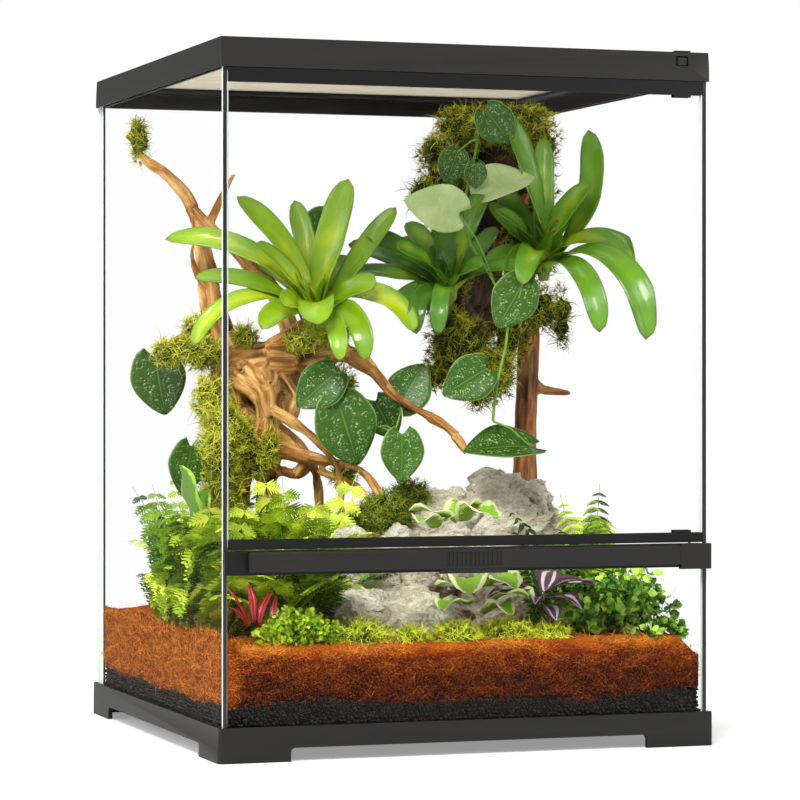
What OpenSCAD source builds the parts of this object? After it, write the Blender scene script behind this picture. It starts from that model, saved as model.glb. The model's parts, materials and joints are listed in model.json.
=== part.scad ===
// Planted reptile terrarium: a glass box with a plastic base, a plastic top frame with a lift-off
// mesh cover, a hinged front door over a fixed cross bar, and its natural planting.
// The origin is on the floor under the middle of the glass box: +X right, +Y back, +Z up.

/* [Glass box] */
// Width of the glass box, outside
glass_w = 446; // [440:1:470]
// Depth of the glass box, outside
glass_d = 446; // [440:1:470]
// Thickness of every pane
pane_t = 4; // [3:0.5:5]
// Total height, from the feet to the rim of the top frame
total_h = 614; // [606:1:680]
// Black edge trim on the front edges of the side panes, depth
trim_t = 1.2; // [0.8:0.1:1.6]
// Leg of the silicone bead in a corner
bead = 5; // [3:0.5:7]

/* [Base] */
// Height of the base
base_h = 30; // [27:1:34]
// Thickness of the outer wall of the base
base_wall = 3.4; // [2.6:0.1:4]
// Height of the ledge that the panes stand on
ledge_h = 22; // [20:1:24]
// Thickness of the ledge
ledge_t = 3; // [2:0.5:4]
// Width of the ledge, inwards from the wall
ledge_w = 22; // [14:1:30]
// Height of the arches between the feet
arch_h = 11.6; // [6:0.2:14]
// Length of a foot along each side
foot_l = 64; // [40:1:90]
// Radius of the corners of the base
foot_r = 5; // [3:0.5:8]
// How much wider the base is at the floor than at its top edge
base_flare = 1.8; // [0:0.2:3]

/* [Top frame] */
// Height of the top frame
frame_h = 25.4; // [22:0.2:34]
// Thickness of the walls of the top frame
frame_wall = 2.4; // [2:0.1:3]
// How much wider the top frame is at its lower edge than at its rim
frame_flare = 2.5; // [0:0.1:3]
// How far the panes reach up into the top frame
pane_grip = 4; // [3:0.5:6]
// Height of the shelf for the mesh cover, under the rim
cover_drop = 9; // [8:0.5:10]
// Thickness of the shelf
shelf_t = 2.6; // [2:0.1:3]
// Width of the shelf, inwards from the glass
shelf_w = 26; // [20:1:34]
// Width of a cable inlet in the back of the top frame
inlet_w = 60; // [30:1:80]
// Height of a cable inlet
inlet_h = 7; // [5:0.5:7]
// Distance of a cable inlet from the middle
inlet_x = 130; // [100:1:150]

/* [Mesh cover] */
// Thickness of the frame of the mesh cover
cover_t = 6.4; // [5:0.2:7]
// Width of the frame of the mesh cover
cover_bar = 16; // [12:1:20]
// Number of gaps along each side of the mesh
mesh_gaps = 16; // [8:1:17]
// Width of a strand of the mesh
strand_w = 1.6; // [1:0.1:2]
// Thickness of a strand of the mesh
strand_t = 1.2; // [0.8:0.1:1.6]
// Width of the lock block at the front of the cover
lock_w = 15; // [12:0.5:18]
// Distance of the lock from the middle of the front
lock_x = 200; // [180:1:202]

/* [Front bar and door] */
// Height of the lower edge of the cross bar
bar_z = 158.5; // [120:0.5:200]
// Height of the cross bar
bar_h = 20.5; // [17:0.5:28]
// How far the cross bar stands out in front of the panes
bar_out = 4; // [3:0.5:6]
// How far the cross bar reaches in behind the door
bar_in = 10; // [8:0.5:14]
// Height of the rail on the lower edge of the door
rail_h = 8.6; // [7:0.2:14]
// Height of the rail on the upper edge of the door
top_rail_h = 12; // [8:0.5:16]
// Thickness of the rails of the door
rail_t = 7; // [6:0.5:8]
// Distance of the hinge axis from the inner face of the right pane
hinge_inset = 12; // [9:0.5:16]
// Radius of a hinge pin
pin_r = 1.2; // [0.8:0.1:1.4]
// Length of a hinge pin on each side of the door's edge
pin_l = 6; // [4:0.5:6.4]
// Width of the raised tab on a rail, beside the hinge
tab_l = 16; // [8:0.5:24]
// Height of that tab
tab_h = 2.4; // [1:0.1:4]
// Height of the latch lever
lever_h = 17.9; // [15:0.1:19]
// Thickness of the latch lever
lever_t = 5.6; // [4:0.2:7]
// Bare length of the cross bar left of the latch lever
lever_left = 21; // [14:1:40]
// Length of the hinge block at the right end of the cross bar
block_w = 29; // [20:1:40]
// Width of the pull tab under the latch lever
pull_w = 62; // [40:1:90]
// Height of the pull tab
pull_h = 3.6; // [2:0.2:5]
// Number of grip ribs on the latch lever
grip_ribs = 13; // [5:2:21]
// Width over all the grip ribs
grip_w = 48; // [30:1:60]

/* [Clearances] */
// Running clearance around doors, levers and sliders
run_gap = 0.4; // [0.3:0.1:0.6]
// Radial clearance of a pin in its bore
pin_gap = 0.05; // [0.02:0.01:0.08]
// Gap between pieces that only stand next to each other
seat_gap = 0.3; // [0.2:0.1:0.4]

/* [Planting] */
// Height of the drainage beads
drain_h = 22; // [16:1:30]
// Height of the soil surface over the floor
soil_z = 96; // [90:1:104]
// Thickness of a leaf
leaf_t = 1.2; // [1:0.1:2]
// Radius of a vine stem
stem_r = 1.3; // [1:0.1:2]

/* [Hidden] */

// Small overlap that makes cuts run clear through
cut = 1;
half_w = glass_w / 2;
half_d = glass_d / 2;
// Inner faces of the side, back and front panes
in_x = half_w - pane_t;
in_y = half_d - pane_t;
// The side panes run the full depth, behind the edge trims
side_front = -half_d + trim_t;
// The outer wall of the base stands just outside the glass
base_top_w = glass_w + 2 * (seat_gap + base_wall);
base_top_d = glass_d + 2 * (seat_gap + base_wall);
floor_z = ledge_h + pane_t;
// Levels of the top frame
frame_z = total_h - frame_h;
pane_top = frame_z + pane_grip;
shelf_top = total_h - cover_drop;
shelf_z = shelf_top - shelf_t;
rim_w = glass_w + 2;
rim_d = glass_d + 2;
// Depth of the bay in front of the cover, in which the lock slides
lock_bay = 2 * frame_wall;
// The mesh cover fits inside the rim
cover_w = rim_w - 2 * frame_wall - 2 * run_gap;
cover_d = rim_d - 2 * frame_wall - lock_bay - 2 * run_gap;
cover_y = lock_bay / 2;
cover_z = shelf_top;
mesh_w = cover_w - 2 * cover_bar;
mesh_d = cover_d - 2 * cover_bar;
// Levels of the bar, the lever and the door
bar_top = bar_z + bar_h;
bar_front = -half_d - bar_out;
lever_top = bar_top - run_gap;
lever_back = bar_front - run_gap;
lever_x0 = -half_w + lever_left;
lever_x1 = half_w - block_w - run_gap;
lever_w = lever_x1 - lever_x0;
lever_axis_y = lever_back - lever_t / 2;
lever_axis_z = lever_top - lever_t / 2;
lug_r = 1.7;
lug_w = 5;
lug_inset = 12;
lug_x = [lever_x0 + lug_inset, lever_x1 - lug_inset];
lever_pin_r = 0.8;
lever_pin_l = 18;
rail_z = bar_top + 3 * run_gap;
door_x0 = -in_x + 2 * run_gap;
door_x1 = in_x - 2 * run_gap;
door_w = door_x1 - door_x0;
door_y = -half_d + pane_t / 2;
door_top = frame_z - run_gap;
hinge_x = in_x - hinge_inset;
// The lower pane stands this far up in the bar
groove = 2.4;
// The corner beads show from just over the soil
seal_lift = 16;
// Depth of the closed front beam of the top frame
beam_d = 12;
// A slider covers its inlet by this much at each end, and its track is this much longer again
inlet_lip = 2;
track_end = 2;
inlet_z = pane_top + 1.4;
// How far the edge of the mesh reaches into the frame of the cover
mesh_grip = 3.5;
// How far the cover lock slides, and how deep its slot goes below the top of the shelf
lock_play = 3;
lock_drop = 4;
lock_slot_x = lock_x - lock_w / 2 - lock_play - 1;
lock_slot_w = lock_w + 2 * lock_play;
// Depth of the web under the glass in a door rail
web = 2;
// Corner notch of the door glass for a hinge shoe
shoe_l = hinge_inset + 5;
shoe_h = 6.3;

// ---------- shared forms ----------

// Drafted block, w by d at its top and wider by flare at its foot
module drafted_block(w, d, h, flare) {
    linear_extrude(h, scale = [w / (w + flare), d / (d + flare)])
        square([w + flare, d + flare], center = true);
}

// Vertical edge rounding, cut from one corner of a block of radius r
module corner_cutter(r, h) {
    difference() {
        translate([0, 0, h / 2])
            cube([2 * r, 2 * r, h], center = true);
        translate([-r, -r, -cut])
            cylinder(r = r, h = h + 2 * cut, $fn = 48);
    }
}

// All four corner cutters around a block of w by d
module corner_cuts(w, d, h, r) {
    for (q = [0:3])
        mirror([q % 2, 0, 0])
            mirror([0, floor(q / 2), 0])
                translate([w / 2, d / 2, -cut])
                    corner_cutter(r, h + 2 * cut);
}

// Arch opening with rounded upper corners, through a wall along Y
module arch(w, h, r, depth) {
    rotate([90, 0, 0])
        linear_extrude(depth, center = true) {
            translate([-w / 2, -cut])
                square([w, h + cut - r]);
            translate([-w / 2 + r, -cut])
                square([w - 2 * r, h + cut]);
            for (s = [-1, 1])
                translate([s * (w / 2 - r), h - r])
                    circle(r, $fn = 32);
        }
}

// ---------- base ----------

module base_frame() {
    arch_r = 4;
    inner_w = base_top_w - 2 * base_wall;
    inner_d = base_top_d - 2 * base_wall;
    color("#2f2d2b")
        difference() {
            drafted_block(base_top_w, base_top_d, base_h, base_flare);
            corner_cuts(base_top_w + base_flare, base_top_d + base_flare, base_h, foot_r);
            // seat of the panes, over the ledge
            translate([-inner_w / 2, -inner_d / 2, ledge_h])
                cube([inner_w, inner_d, base_h]);
            // opening inside the ledge
            translate([-inner_w / 2 + ledge_w, -inner_d / 2 + ledge_w, -cut])
                cube([inner_w - 2 * ledge_w, inner_d - 2 * ledge_w, base_h]);
            // hollow under the ledge
            translate([-inner_w / 2, -inner_d / 2, -cut])
                cube([inner_w, inner_d, ledge_h - ledge_t + cut]);
            // arches between the feet
            arch(base_top_w + base_flare - 2 * foot_l, arch_h, arch_r, 2 * base_top_d);
            rotate([0, 0, 90])
                arch(base_top_d + base_flare - 2 * foot_l, arch_h, arch_r, 2 * base_top_w);
        }
}

// ---------- glass ----------

module floor_glass() {
    color("#cfe0d8", 0.4)
        translate([-in_x + seat_gap, -in_y + seat_gap, ledge_h])
            cube([2 * (in_x - seat_gap), 2 * (in_y - seat_gap), pane_t]);
}

// One side pane, its inner face towards the middle
module side_pane(side) {
    color("#d5ebe0", 0.3)
        translate([side > 0 ? in_x : -half_w, side_front, ledge_h])
            cube([pane_t, glass_d - trim_t, pane_top - ledge_h]);
}

module left_glass() {
    side_pane(-1);
}

module right_glass() {
    side_pane(1);
}

module back_glass() {
    color("#d5ebe0", 0.3)
        translate([-in_x, in_y, ledge_h])
            cube([2 * in_x, pane_t, pane_top - ledge_h]);
}

module front_lower_glass() {
    color("#d5ebe0", 0.3)
        translate([-in_x + seat_gap, -half_d, ledge_h])
            cube([2 * (in_x - seat_gap), pane_t, bar_z + groove - ledge_h]);
}

// Silicone bead up a rear corner, three-sided
module corner_seal(side) {
    color("#1b1b1b")
        mirror([side > 0 ? 0 : 1, 0, 0])
            translate([in_x, in_y, soil_z + seal_lift])
                linear_extrude(frame_z - soil_z - seal_lift - seat_gap)
                    polygon([[0, 0], [-bead, 0], [0, -bead]]);
}

module rear_left_seal() {
    corner_seal(-1);
}

module rear_right_seal() {
    corner_seal(1);
}

// Black trim on the front edge of a side pane
module edge_trim(side) {
    color("#1b1b1b")
        translate([side > 0 ? in_x : -half_w, -half_d, ledge_h])
            cube([pane_t, trim_t, pane_top - ledge_h]);
}

module left_edge_trim() {
    edge_trim(-1);
}

module right_edge_trim() {
    edge_trim(1);
}

// ---------- top frame ----------

module top_frame() {
    skirt_in_w = glass_w + 2 * seat_gap;
    skirt_in_d = glass_d + 2 * seat_gap;
    inner_w = 2 * (in_x - seat_gap);
    inner_d = 2 * (in_y - seat_gap);
    color("#3a3835")
        difference() {
            translate([0, 0, frame_z])
                drafted_block(rim_w, rim_d, frame_h, frame_flare);
            translate([0, 0, frame_z])
                corner_cuts(rim_w + frame_flare, rim_d + frame_flare, frame_h, foot_r / 2);
            // recess for the mesh cover, behind the bay of the lock
            translate([-rim_w / 2 + frame_wall, -rim_d / 2 + frame_wall + lock_bay, shelf_top])
                cube([rim_w - 2 * frame_wall, rim_d - 2 * frame_wall - lock_bay, frame_h]);
            // opening inside the shelf
            translate([-half_w + shelf_w, -half_d + shelf_w, frame_z - cut])
                cube([glass_w - 2 * shelf_w, glass_d - 2 * shelf_w, frame_h]);
            // groove over the side panes and the back pane
            difference() {
                translate([-skirt_in_w / 2, -skirt_in_d / 2, frame_z - cut])
                    cube([skirt_in_w, skirt_in_d, pane_grip + cut]);
                translate([-inner_w / 2, -skirt_in_d, frame_z - 2 * cut])
                    cube([inner_w, skirt_in_d + inner_d / 2, frame_h]);
            }
            // hollow between the front beam and the inner walls
            translate([-inner_w / 2 + frame_wall, -half_d + beam_d, frame_z - cut])
                cube([inner_w - 2 * frame_wall, half_d - beam_d + inner_d / 2 - frame_wall,
                    shelf_z - frame_z + cut]);
            inlet_cuts(1);
            inlet_cuts(-1);
            lock_cuts();
            // bore of the upper hinge pin
            translate([hinge_x, door_y, frame_z - cut])
                cylinder(r = pin_r + pin_gap, h = pin_l + run_gap + cut, $fn = 48);
        }
}

// Slot for cables and tubes through the back of the top frame, and the track of its slider
module inlet_cuts(side) {
    end = inlet_lip + track_end;
    mirror([side > 0 ? 0 : 1, 0, 0]) {
        translate([inlet_x - inlet_w / 2, in_y - 2 * frame_wall, inlet_z])
            cube([inlet_w, pane_t + 6 * frame_wall, inlet_h]);
        translate([inlet_x - 1.5 * inlet_w - end, in_y, pane_top - cut])
            cube([2 * (inlet_w + end), pane_t, shelf_z - pane_top + cut]);
    }
}

// Window and slot of the cover lock, at the front right
module lock_cuts() {
    window_h = 8.8;
    window_drop = 3.4;
    translate([lock_x - lock_w / 2, -rim_d, shelf_top - window_drop])
        cube([lock_w - lock_play, rim_d / 2 + frame_wall + cut, window_h]);
    translate([lock_slot_x, -rim_d / 2 + frame_wall, shelf_top - lock_drop])
        cube([lock_slot_w, lock_bay, frame_h]);
}

// Slider that closes a cable inlet, with a thumb rib in the slot
module inlet_slider(side) {
    slider_l = inlet_w + 2 * inlet_lip;
    rib_w = 2;
    rib_gap = 1;
    color("#2f2d2b")
        mirror([side > 0 ? 0 : 1, 0, 0]) {
            translate([inlet_x - slider_l / 2, in_y + seat_gap, pane_top + seat_gap])
                cube([slider_l, pane_t - 2 * seat_gap, shelf_z - pane_top - 2 * seat_gap]);
            translate([inlet_x + inlet_w / 2 - rib_w - rib_gap, in_y + pane_t / 2,
                    inlet_z + rib_gap])
                cube([rib_w, pane_t / 2 + frame_wall + rib_gap, inlet_h - 2 * rib_gap]);
        }
}

module inlet_slider_left() {
    inlet_slider(-1);
}

module inlet_slider_right() {
    inlet_slider(1);
}

// ---------- mesh cover ----------

module cover_frame() {
    groove_d = mesh_grip + 0.5;
    color("#2f2d2b")
        translate([0, cover_y, cover_z])
            difference() {
                translate([-cover_w / 2, -cover_d / 2, 0])
                    cube([cover_w, cover_d, cover_t]);
                translate([-mesh_w / 2, -mesh_d / 2, -cut])
                    cube([mesh_w, mesh_d, cover_t + 2 * cut]);
                // groove that holds the edge of the mesh
                translate([-mesh_w / 2 - groove_d, -mesh_d / 2 - groove_d,
                        cover_t / 2 - strand_t / 2])
                    cube([mesh_w + 2 * groove_d, mesh_d + 2 * groove_d, strand_t]);
            }
}

module cover_mesh() {
    span_w = mesh_w + 2 * mesh_grip;
    span_d = mesh_d + 2 * mesh_grip;
    color("#b9b2a2")
        translate([0, cover_y, cover_z + cover_t / 2])
            for (i = [0:mesh_gaps]) {
                t = i / mesh_gaps - 0.5;
                translate([t * (span_w - strand_w), 0, 0])
                    cube([strand_w, span_d, strand_t], center = true);
                translate([0, t * (span_d - strand_w), 0])
                    cube([span_w, strand_w, strand_t], center = true);
            }
}

// Sliding block of the cover lock: its face shows in the window, its lip lies over the rim
module cover_lock() {
    block_d = lock_bay - 2 * seat_gap;
    lip_z = cover_drop + lock_drop;
    lip_t = 1;
    boss_h = 7;
    boss_in = 0.6;
    color("#35332f")
        translate([lock_x - lock_w / 2, -rim_d / 2 + frame_wall + seat_gap,
                shelf_top - lock_drop + seat_gap]) {
            cube([lock_w, block_d, lip_z + lip_t]);
            translate([0, -frame_wall, lip_z])
                cube([lock_w, frame_wall + block_d, lip_t]);
            translate([lock_play, boss_in - frame_wall, lip_t])
                cube([lock_w - 2 * lock_play - run_gap, frame_wall, boss_h]);
        }
}

// ---------- cross bar and latch lever ----------

module front_bar() {
    vent_n = 24;
    vent_pitch = 15;
    vent_z = 9;
    vent_w = 3;
    vent_h = 7;
    side_inset = 1;
    color("#2c2a28")
        difference() {
            union() {
                // front flange over the panes and the trims
                translate([-half_w + side_inset, bar_front, bar_z])
                    cube([glass_w - 2 * side_inset, bar_out, bar_h]);
                // body between the side panes
                translate([-in_x + seat_gap, -half_d - cut, bar_z])
                    cube([2 * (in_x - seat_gap), bar_in + cut, bar_h]);
                for (x = lug_x)
                    translate([x, lever_axis_y, lever_axis_z])
                        lug();
            }
            // groove over the edge of the lower pane
            translate([-in_x, -half_d, bar_z - cut])
                cube([2 * in_x, pane_t + seat_gap, groove + cut]);
            // ventilation slots, behind the lever
            for (i = [0:vent_n - 1])
                translate([(i - (vent_n - 1) / 2) * vent_pitch, -half_d, bar_z + vent_z])
                    cube([vent_w, 4 * bar_in, vent_h], center = true);
            // bore of the lower hinge pin
            translate([hinge_x, door_y, bar_top - pin_l + run_gap])
                cylinder(r = pin_r + pin_gap, h = pin_l + cut, $fn = 48);
            // bores of the lever pins
            for (x = lug_x)
                translate([x, lever_axis_y, lever_axis_z])
                    rotate([0, 90, 0])
                        cylinder(r = lever_pin_r + pin_gap, h = 2 * lug_w, center = true,
                            $fn = 32);
        }
}

// Lug that carries one pin of the lever, rounded about the pin
module lug() {
    rotate([0, 90, 0])
        cylinder(r = lug_r, h = lug_w, center = true, $fn = 48);
    translate([-lug_w / 2, 0, -lug_r])
        cube([lug_w, bar_front - lever_axis_y + cut, 2 * lug_r]);
}

// Block at the right end of the bar, level with the front of the lever; it hangs a little
// below the bar and its outer front edge is rounded
module bar_hinge_block() {
    r = 1.5;
    proud = 0.5;
    d = lever_t + run_gap;
    h = bar_h + r + proud;
    color("#3d3a36")
        translate([half_w - block_w, bar_front - d, bar_z - r]) {
            cube([block_w + proud - r, d, h]);
            translate([0, r, 0])
                cube([block_w + proud, d - r, h]);
            translate([block_w + proud - r, r, 0])
                cylinder(r = r, h = h, $fn = 32);
        }
}

// Section of the lever: its hinge edge is round about the pins, its lower front edge rounded
module lever_section() {
    r = lever_t / 2;
    nose = 1.5;
    circle(r, $fn = 48);
    translate([-r, r - lever_h + nose])
        square([lever_t, lever_h - r - nose]);
    translate([-r + nose, r - lever_h])
        square([lever_t - nose, lever_h - r]);
    translate([-r + nose, r - lever_h + nose])
        circle(nose, $fn = 32);
}

module latch_lever() {
    corner_r = 3;
    pull_t = 2.4;
    rib_pitch = grip_w / (grip_ribs - 1);
    rib_depth = 0.8;
    rib_h = 0.68 * lever_h;
    color("#35332f")
        translate([0, lever_axis_y, lever_axis_z])
            difference() {
                union() {
                    translate([lever_x0, 0, 0])
                        rotate([90, 0, 90])
                            linear_extrude(lever_w)
                                lever_section();
                    // pull tab
                    translate([-pull_w / 2, -lever_t / 2 + 1, lever_t / 2 - lever_h - pull_h])
                        cube([pull_w, pull_t, pull_h + 2 * cut]);
                }
                // rounded lower corner at the left end
                translate([lever_x0, 0, lever_t / 2 - lever_h])
                    end_rounding(corner_r);
                // rounded upper corner at the left end
                translate([lever_x0, 0, lever_t / 2])
                    mirror([0, 0, 1])
                        end_rounding(corner_r);
                // pockets for the lugs, open at the back
                for (x = lug_x)
                    translate([x, 0, 0]) {
                        rotate([0, 90, 0])
                            cylinder(r = lug_r + run_gap, h = lug_w + 2 * run_gap,
                                center = true, $fn = 48);
                        translate([-lug_w / 2 - run_gap, 0, -lug_r - run_gap])
                            cube([lug_w + 2 * run_gap, lever_t, lever_t + lug_r]);
                        rotate([0, 90, 0])
                            cylinder(r = lever_pin_r + pin_gap, h = lever_pin_l + lug_w, center = true,
                                $fn = 32);
                    }
                // grooves, which leave upright grip ribs between them
                for (i = [0:grip_ribs - 1])
                    translate([(i - (grip_ribs - 1) / 2) * rib_pitch, -lever_t / 2,
                            (lever_t - lever_h) / 2])
                        cube([rib_pitch / 2, 2 * rib_depth, rib_h], center = true);
            }
}

// Cutter that rounds the end of the lever, in the plane of its face
module end_rounding(r) {
    rotate([90, 0, 0])
        difference() {
            translate([-cut, -cut, -lever_t])
                cube([r + cut, r + cut, 2 * lever_t]);
            translate([r, r, -2 * lever_t])
                cylinder(r = r, h = 4 * lever_t, $fn = 48);
        }
}

// Pin of the lever, from end to end of its bore
module lever_pin(x) {
    color("silver")
        translate([x, lever_axis_y, lever_axis_z])
            rotate([0, 90, 0])
                cylinder(r = lever_pin_r, h = lever_pin_l, center = true, $fn = 32);
}

module lever_pin_left() {
    lever_pin(lug_x[0]);
}

module lever_pin_right() {
    lever_pin(lug_x[1]);
}

// ---------- door ----------

module door_glass() {
    glass_z = rail_z + web;
    edge_gap = 0.6;
    color("#d5ebe0", 0.3)
        difference() {
            translate([door_x0 + edge_gap, -half_d, glass_z])
                cube([door_w - 2 * edge_gap, pane_t, door_top - web - glass_z]);
            // corner notches for the hinge shoes
            for (z = [glass_z - cut, door_top - web - shoe_h])
                translate([door_x1 - shoe_l, -half_d - cut, z])
                    cube([shoe_l, pane_t + 2 * cut, shoe_h + cut]);
        }
}

// Channel along the lower edge of the door, open upwards, with a tab beside the hinge
module door_rail(h) {
    wall = (rail_t - pane_t) / 2;
    difference() {
        union() {
            translate([door_x0, -rail_t / 2, 0])
                cube([door_w, rail_t, h]);
            translate([hinge_x - tab_l, -rail_t / 2, 0])
                cube([tab_l, rail_t, h + tab_h]);
        }
        translate([door_x0 - cut, -rail_t / 2 + wall, web])
            cube([door_w + 2 * cut, pane_t, h + tab_h]);
        translate([hinge_x, 0, -cut])
            cylinder(r = pin_r + pin_gap, h = web + 2 * cut, $fn = 48);
    }
}

module door_bottom_rail() {
    color("#2c2a28")
        translate([0, door_y, rail_z])
            door_rail(rail_h);
}

module door_top_rail() {
    color("#2c2a28")
        translate([0, door_y, door_top])
            mirror([0, 0, 1])
                door_rail(top_rail_h);
}

// Shoe in the corner of the glass that holds the hinge pin
module hinge_shoe() {
    difference() {
        translate([door_x1 - shoe_l, -pane_t / 2, web])
            cube([shoe_l, pane_t, shoe_h]);
        translate([hinge_x, 0, web - cut])
            cylinder(r = pin_r + pin_gap, h = pin_l - web + cut + run_gap, $fn = 48);
    }
}

module lower_hinge_clip() {
    color("#26241f")
        translate([0, door_y, rail_z])
            hinge_shoe();
}

module upper_hinge_clip() {
    color("#26241f")
        translate([0, door_y, door_top])
            mirror([0, 0, 1])
                hinge_shoe();
}

module lower_hinge_pin() {
    color("silver")
        translate([hinge_x, door_y, bar_top - pin_l + 2 * run_gap])
            cylinder(r = pin_r, h = 2 * pin_l + rail_z - bar_top - 2 * run_gap, $fn = 48);
}

module upper_hinge_pin() {
    color("silver")
        translate([hinge_x, door_y, door_top - pin_l])
            cylinder(r = pin_r, h = 2 * pin_l + run_gap, $fn = 48);
}

// Block under the front beam, which the top corner of the door closes against
module door_stop() {
    stop_w = 12;
    stop_h = 11.6;
    side_gap = 2;
    color("#26241f")
        translate([-in_x + side_gap, door_y + rail_t / 2 + seat_gap, frame_z - stop_h])
            cube([stop_w, beam_d - pane_t / 2 - rail_t / 2 - 2 * seat_gap, stop_h]);
}

// ---------- drainage and soil ----------

soil_n = 10;
soil_w = in_x - seat_gap;
soil_d = in_y - seat_gap;

// Grid line from -1 to 1, closer together towards the glass
function grid(i) = let (s = 2 * i / soil_n - 1) sign(s) * (1 - pow(1 - abs(s), 1.7));

// Surface of the drainage beads: nearly level, with low waves
function beads_z(x, y) = floor_z + drain_h + 2.5 * sin(2.1 * x + 30) + 2 * cos(2.7 * y + x);

// Surface of the soil: level in the middle, where things stand, and uneven along the glass
function soil_top(x, y) =
    let (edge = max(abs(x) / soil_w, abs(y) / soil_d) > 0.99)
    !edge ? soil_z : x < -soil_w + 1 ? soil_z + 9 + 3 * sin(1.6 * y)
        : y > soil_d - 1 ? soil_z + 8 + 3 * sin(2 * x)
        : x > soil_w - 1 ? soil_z - 12 + 4 * sin(2 * y)
        : soil_z - 9 + 6 * sin(3.1 * x - 40);

// Closed layer between two height functions: layer 0 is the beads, layer 1 the soil
module soil_layer(layer) {
    n = soil_n + 1;
    xs = [for (i = [0:soil_n]) grid(i) * soil_w];
    ys = [for (i = [0:soil_n]) grid(i) * soil_d];
    low = [for (y = ys) for (x = xs) [x, y, layer == 0 ? floor_z : beads_z(x, y)]];
    high = [for (y = ys) for (x = xs) [x, y, layer == 0 ? beads_z(x, y) : soil_top(x, y)]];
    top = n * n;
    cells = [for (j = [0:soil_n - 1]) for (i = [0:soil_n - 1]) j * n + i];
    rim = concat([for (i = [0:soil_n - 1]) i], [for (j = [0:soil_n - 1]) j * n + soil_n],
        [for (i = [soil_n:-1:1]) soil_n * n + i], [for (j = [soil_n:-1:1]) j * n]);
    m = len(rim);
    faces = concat(
        [for (c = cells) [c, c + 1, c + n + 1]], [for (c = cells) [c, c + n + 1, c + n]],
        [for (c = cells) [top + c, top + c + n + 1, top + c + 1]],
        [for (c = cells) [top + c, top + c + n, top + c + n + 1]],
        [for (k = [0:m - 1]) [rim[k], top + rim[k], rim[(k + 1) % m]]],
        [for (k = [0:m - 1]) [rim[(k + 1) % m], top + rim[k], top + rim[(k + 1) % m]]]);
    polyhedron(concat(low, high), faces);
}

module drainage_layer() {
    color("#1d1c1b")
        soil_layer(0);
}

module coir_layer() {
    color("#8a4a22")
        soil_layer(1);
}

// ---------- forms of the planting ----------

// Repeatable scatter between 0 and 1
function scatter(i) = let (s = sin(i * 127.1 + 31.7) * 437.5) s - floor(s);

// Round tapering stretches through the points of a route, each [x, y, z, radius]
module branch(route, sides = 6) {
    for (i = [0:len(route) - 2])
        hull() {
            translate([route[i][0], route[i][1], route[i][2]])
                sphere(route[i][3], $fn = sides);
            translate([route[i + 1][0], route[i + 1][1], route[i + 1][2]])
                sphere(route[i + 1][3], $fn = sides);
        }
}

// Angular boulder within half-axes r, from n scattered corners
module boulder(r, n, seed) {
    // corners spread evenly from pole to pole, a golden angle apart
    corners = [for (i = [0:n - 1])
        let (z = 1 - 2 * (i + 0.5) / n, a = i * 137.5 + seed * 40, c = sqrt(1 - z * z))
        (0.82 + 0.18 * scatter(i + seed * 20)) * [r[0] * c * cos(a), r[1] * c * sin(a), r[2] * z]];
    hull()
        polyhedron(corners, [for (i = [0:n - 3]) [i, i + 1, i + 2]]);
}

// Rounded tufts of moss, each [x, y, z, radius, half of its height]
module tufts(list) {
    for (t = list)
        translate([t[0], t[1], t[2]])
            scale([1, 1, t[4] / t[3]])
                sphere(t[3], $fn = 7);
}

// Rise and reach of an arching blade after a share s of its length
function reach(b, s) = b[3] * 57.3 * (sin(b[1] + (b[2] - b[1]) * s) - sin(b[1])) / (b[2] - b[1]);
function rise(b, s) = -b[3] * 57.3 * (cos(b[1] + (b[2] - b[1]) * s) - cos(b[1])) / (b[2] - b[1]);

// Width of a strap leaf along its length: parallel, then pointed
function strap(s) = s < 0.75 ? 0.7 + 0.4 * s : max(0.06, 1 - 3.9 * pow(s - 0.75, 1.05));

// Width of a fern frond along its length: broad in the middle
function frond(s) = 0.1 + 0.9 * sin(180 * min(0.97, s));

// The four corners of a blade's section after a share s of its length: left edge, top of the
// midrib, right edge, underside of the midrib; the edges lie higher than the midrib
function blade_section(b, s, w) =
    let (p = b[1] + (b[2] - b[1]) * s, x = reach(b, s), z = rise(b, s), up = [-sin(p), 0, cos(p)])
    [for (q = [[w / 2, 0.2 * w], [0, leaf_t / 2], [-w / 2, 0.2 * w], [0, -leaf_t / 2]])
        [x, q[0], z] + q[1] * up];

// One arching blade, [turn, pitch at the foot, pitch at the tip, length, width]
module blade(b, steps, is_frond = false) {
    points = [for (i = [0:steps])
        each blade_section(b, i / steps, b[4] * (is_frond ? frond(i / steps) : strap(i / steps)))];
    last = 4 * steps;
    sides = [for (i = [0:steps - 1]) for (k = [0:3])
        let (a = 4 * i + k, c = 4 * i + (k + 1) % 4)
        each [[a, c + 4, c], [a, a + 4, c + 4]]];
    rotate([0, 0, b[0]])
        polyhedron(points, concat([[0, 1, 2], [0, 2, 3]], sides,
            [[last, last + 2, last + 1], [last, last + 3, last + 2]]));
}

// Rosette of strap leaves around a short stem
module bromeliad(blades, core_r) {
    for (b = blades)
        blade(b, 5);
    hull() {
        sphere(core_r, $fn = 7);
        translate([0, 0, core_r * 2.2])
            sphere(core_r * 0.6, $fn = 7);
    }
}

// Outline of a heart-shaped leaf of length l, from its stalk
function heart(l) = [for (a = [0:30:330])
    let (r = l * (0.5 - 0.1 * cos(a) * abs(cos(a)) + 0.08 * pow(abs(sin(a)), 3)))
    [l * 0.385 - r * cos(a), 0.85 * r * sin(a)]];

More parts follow.
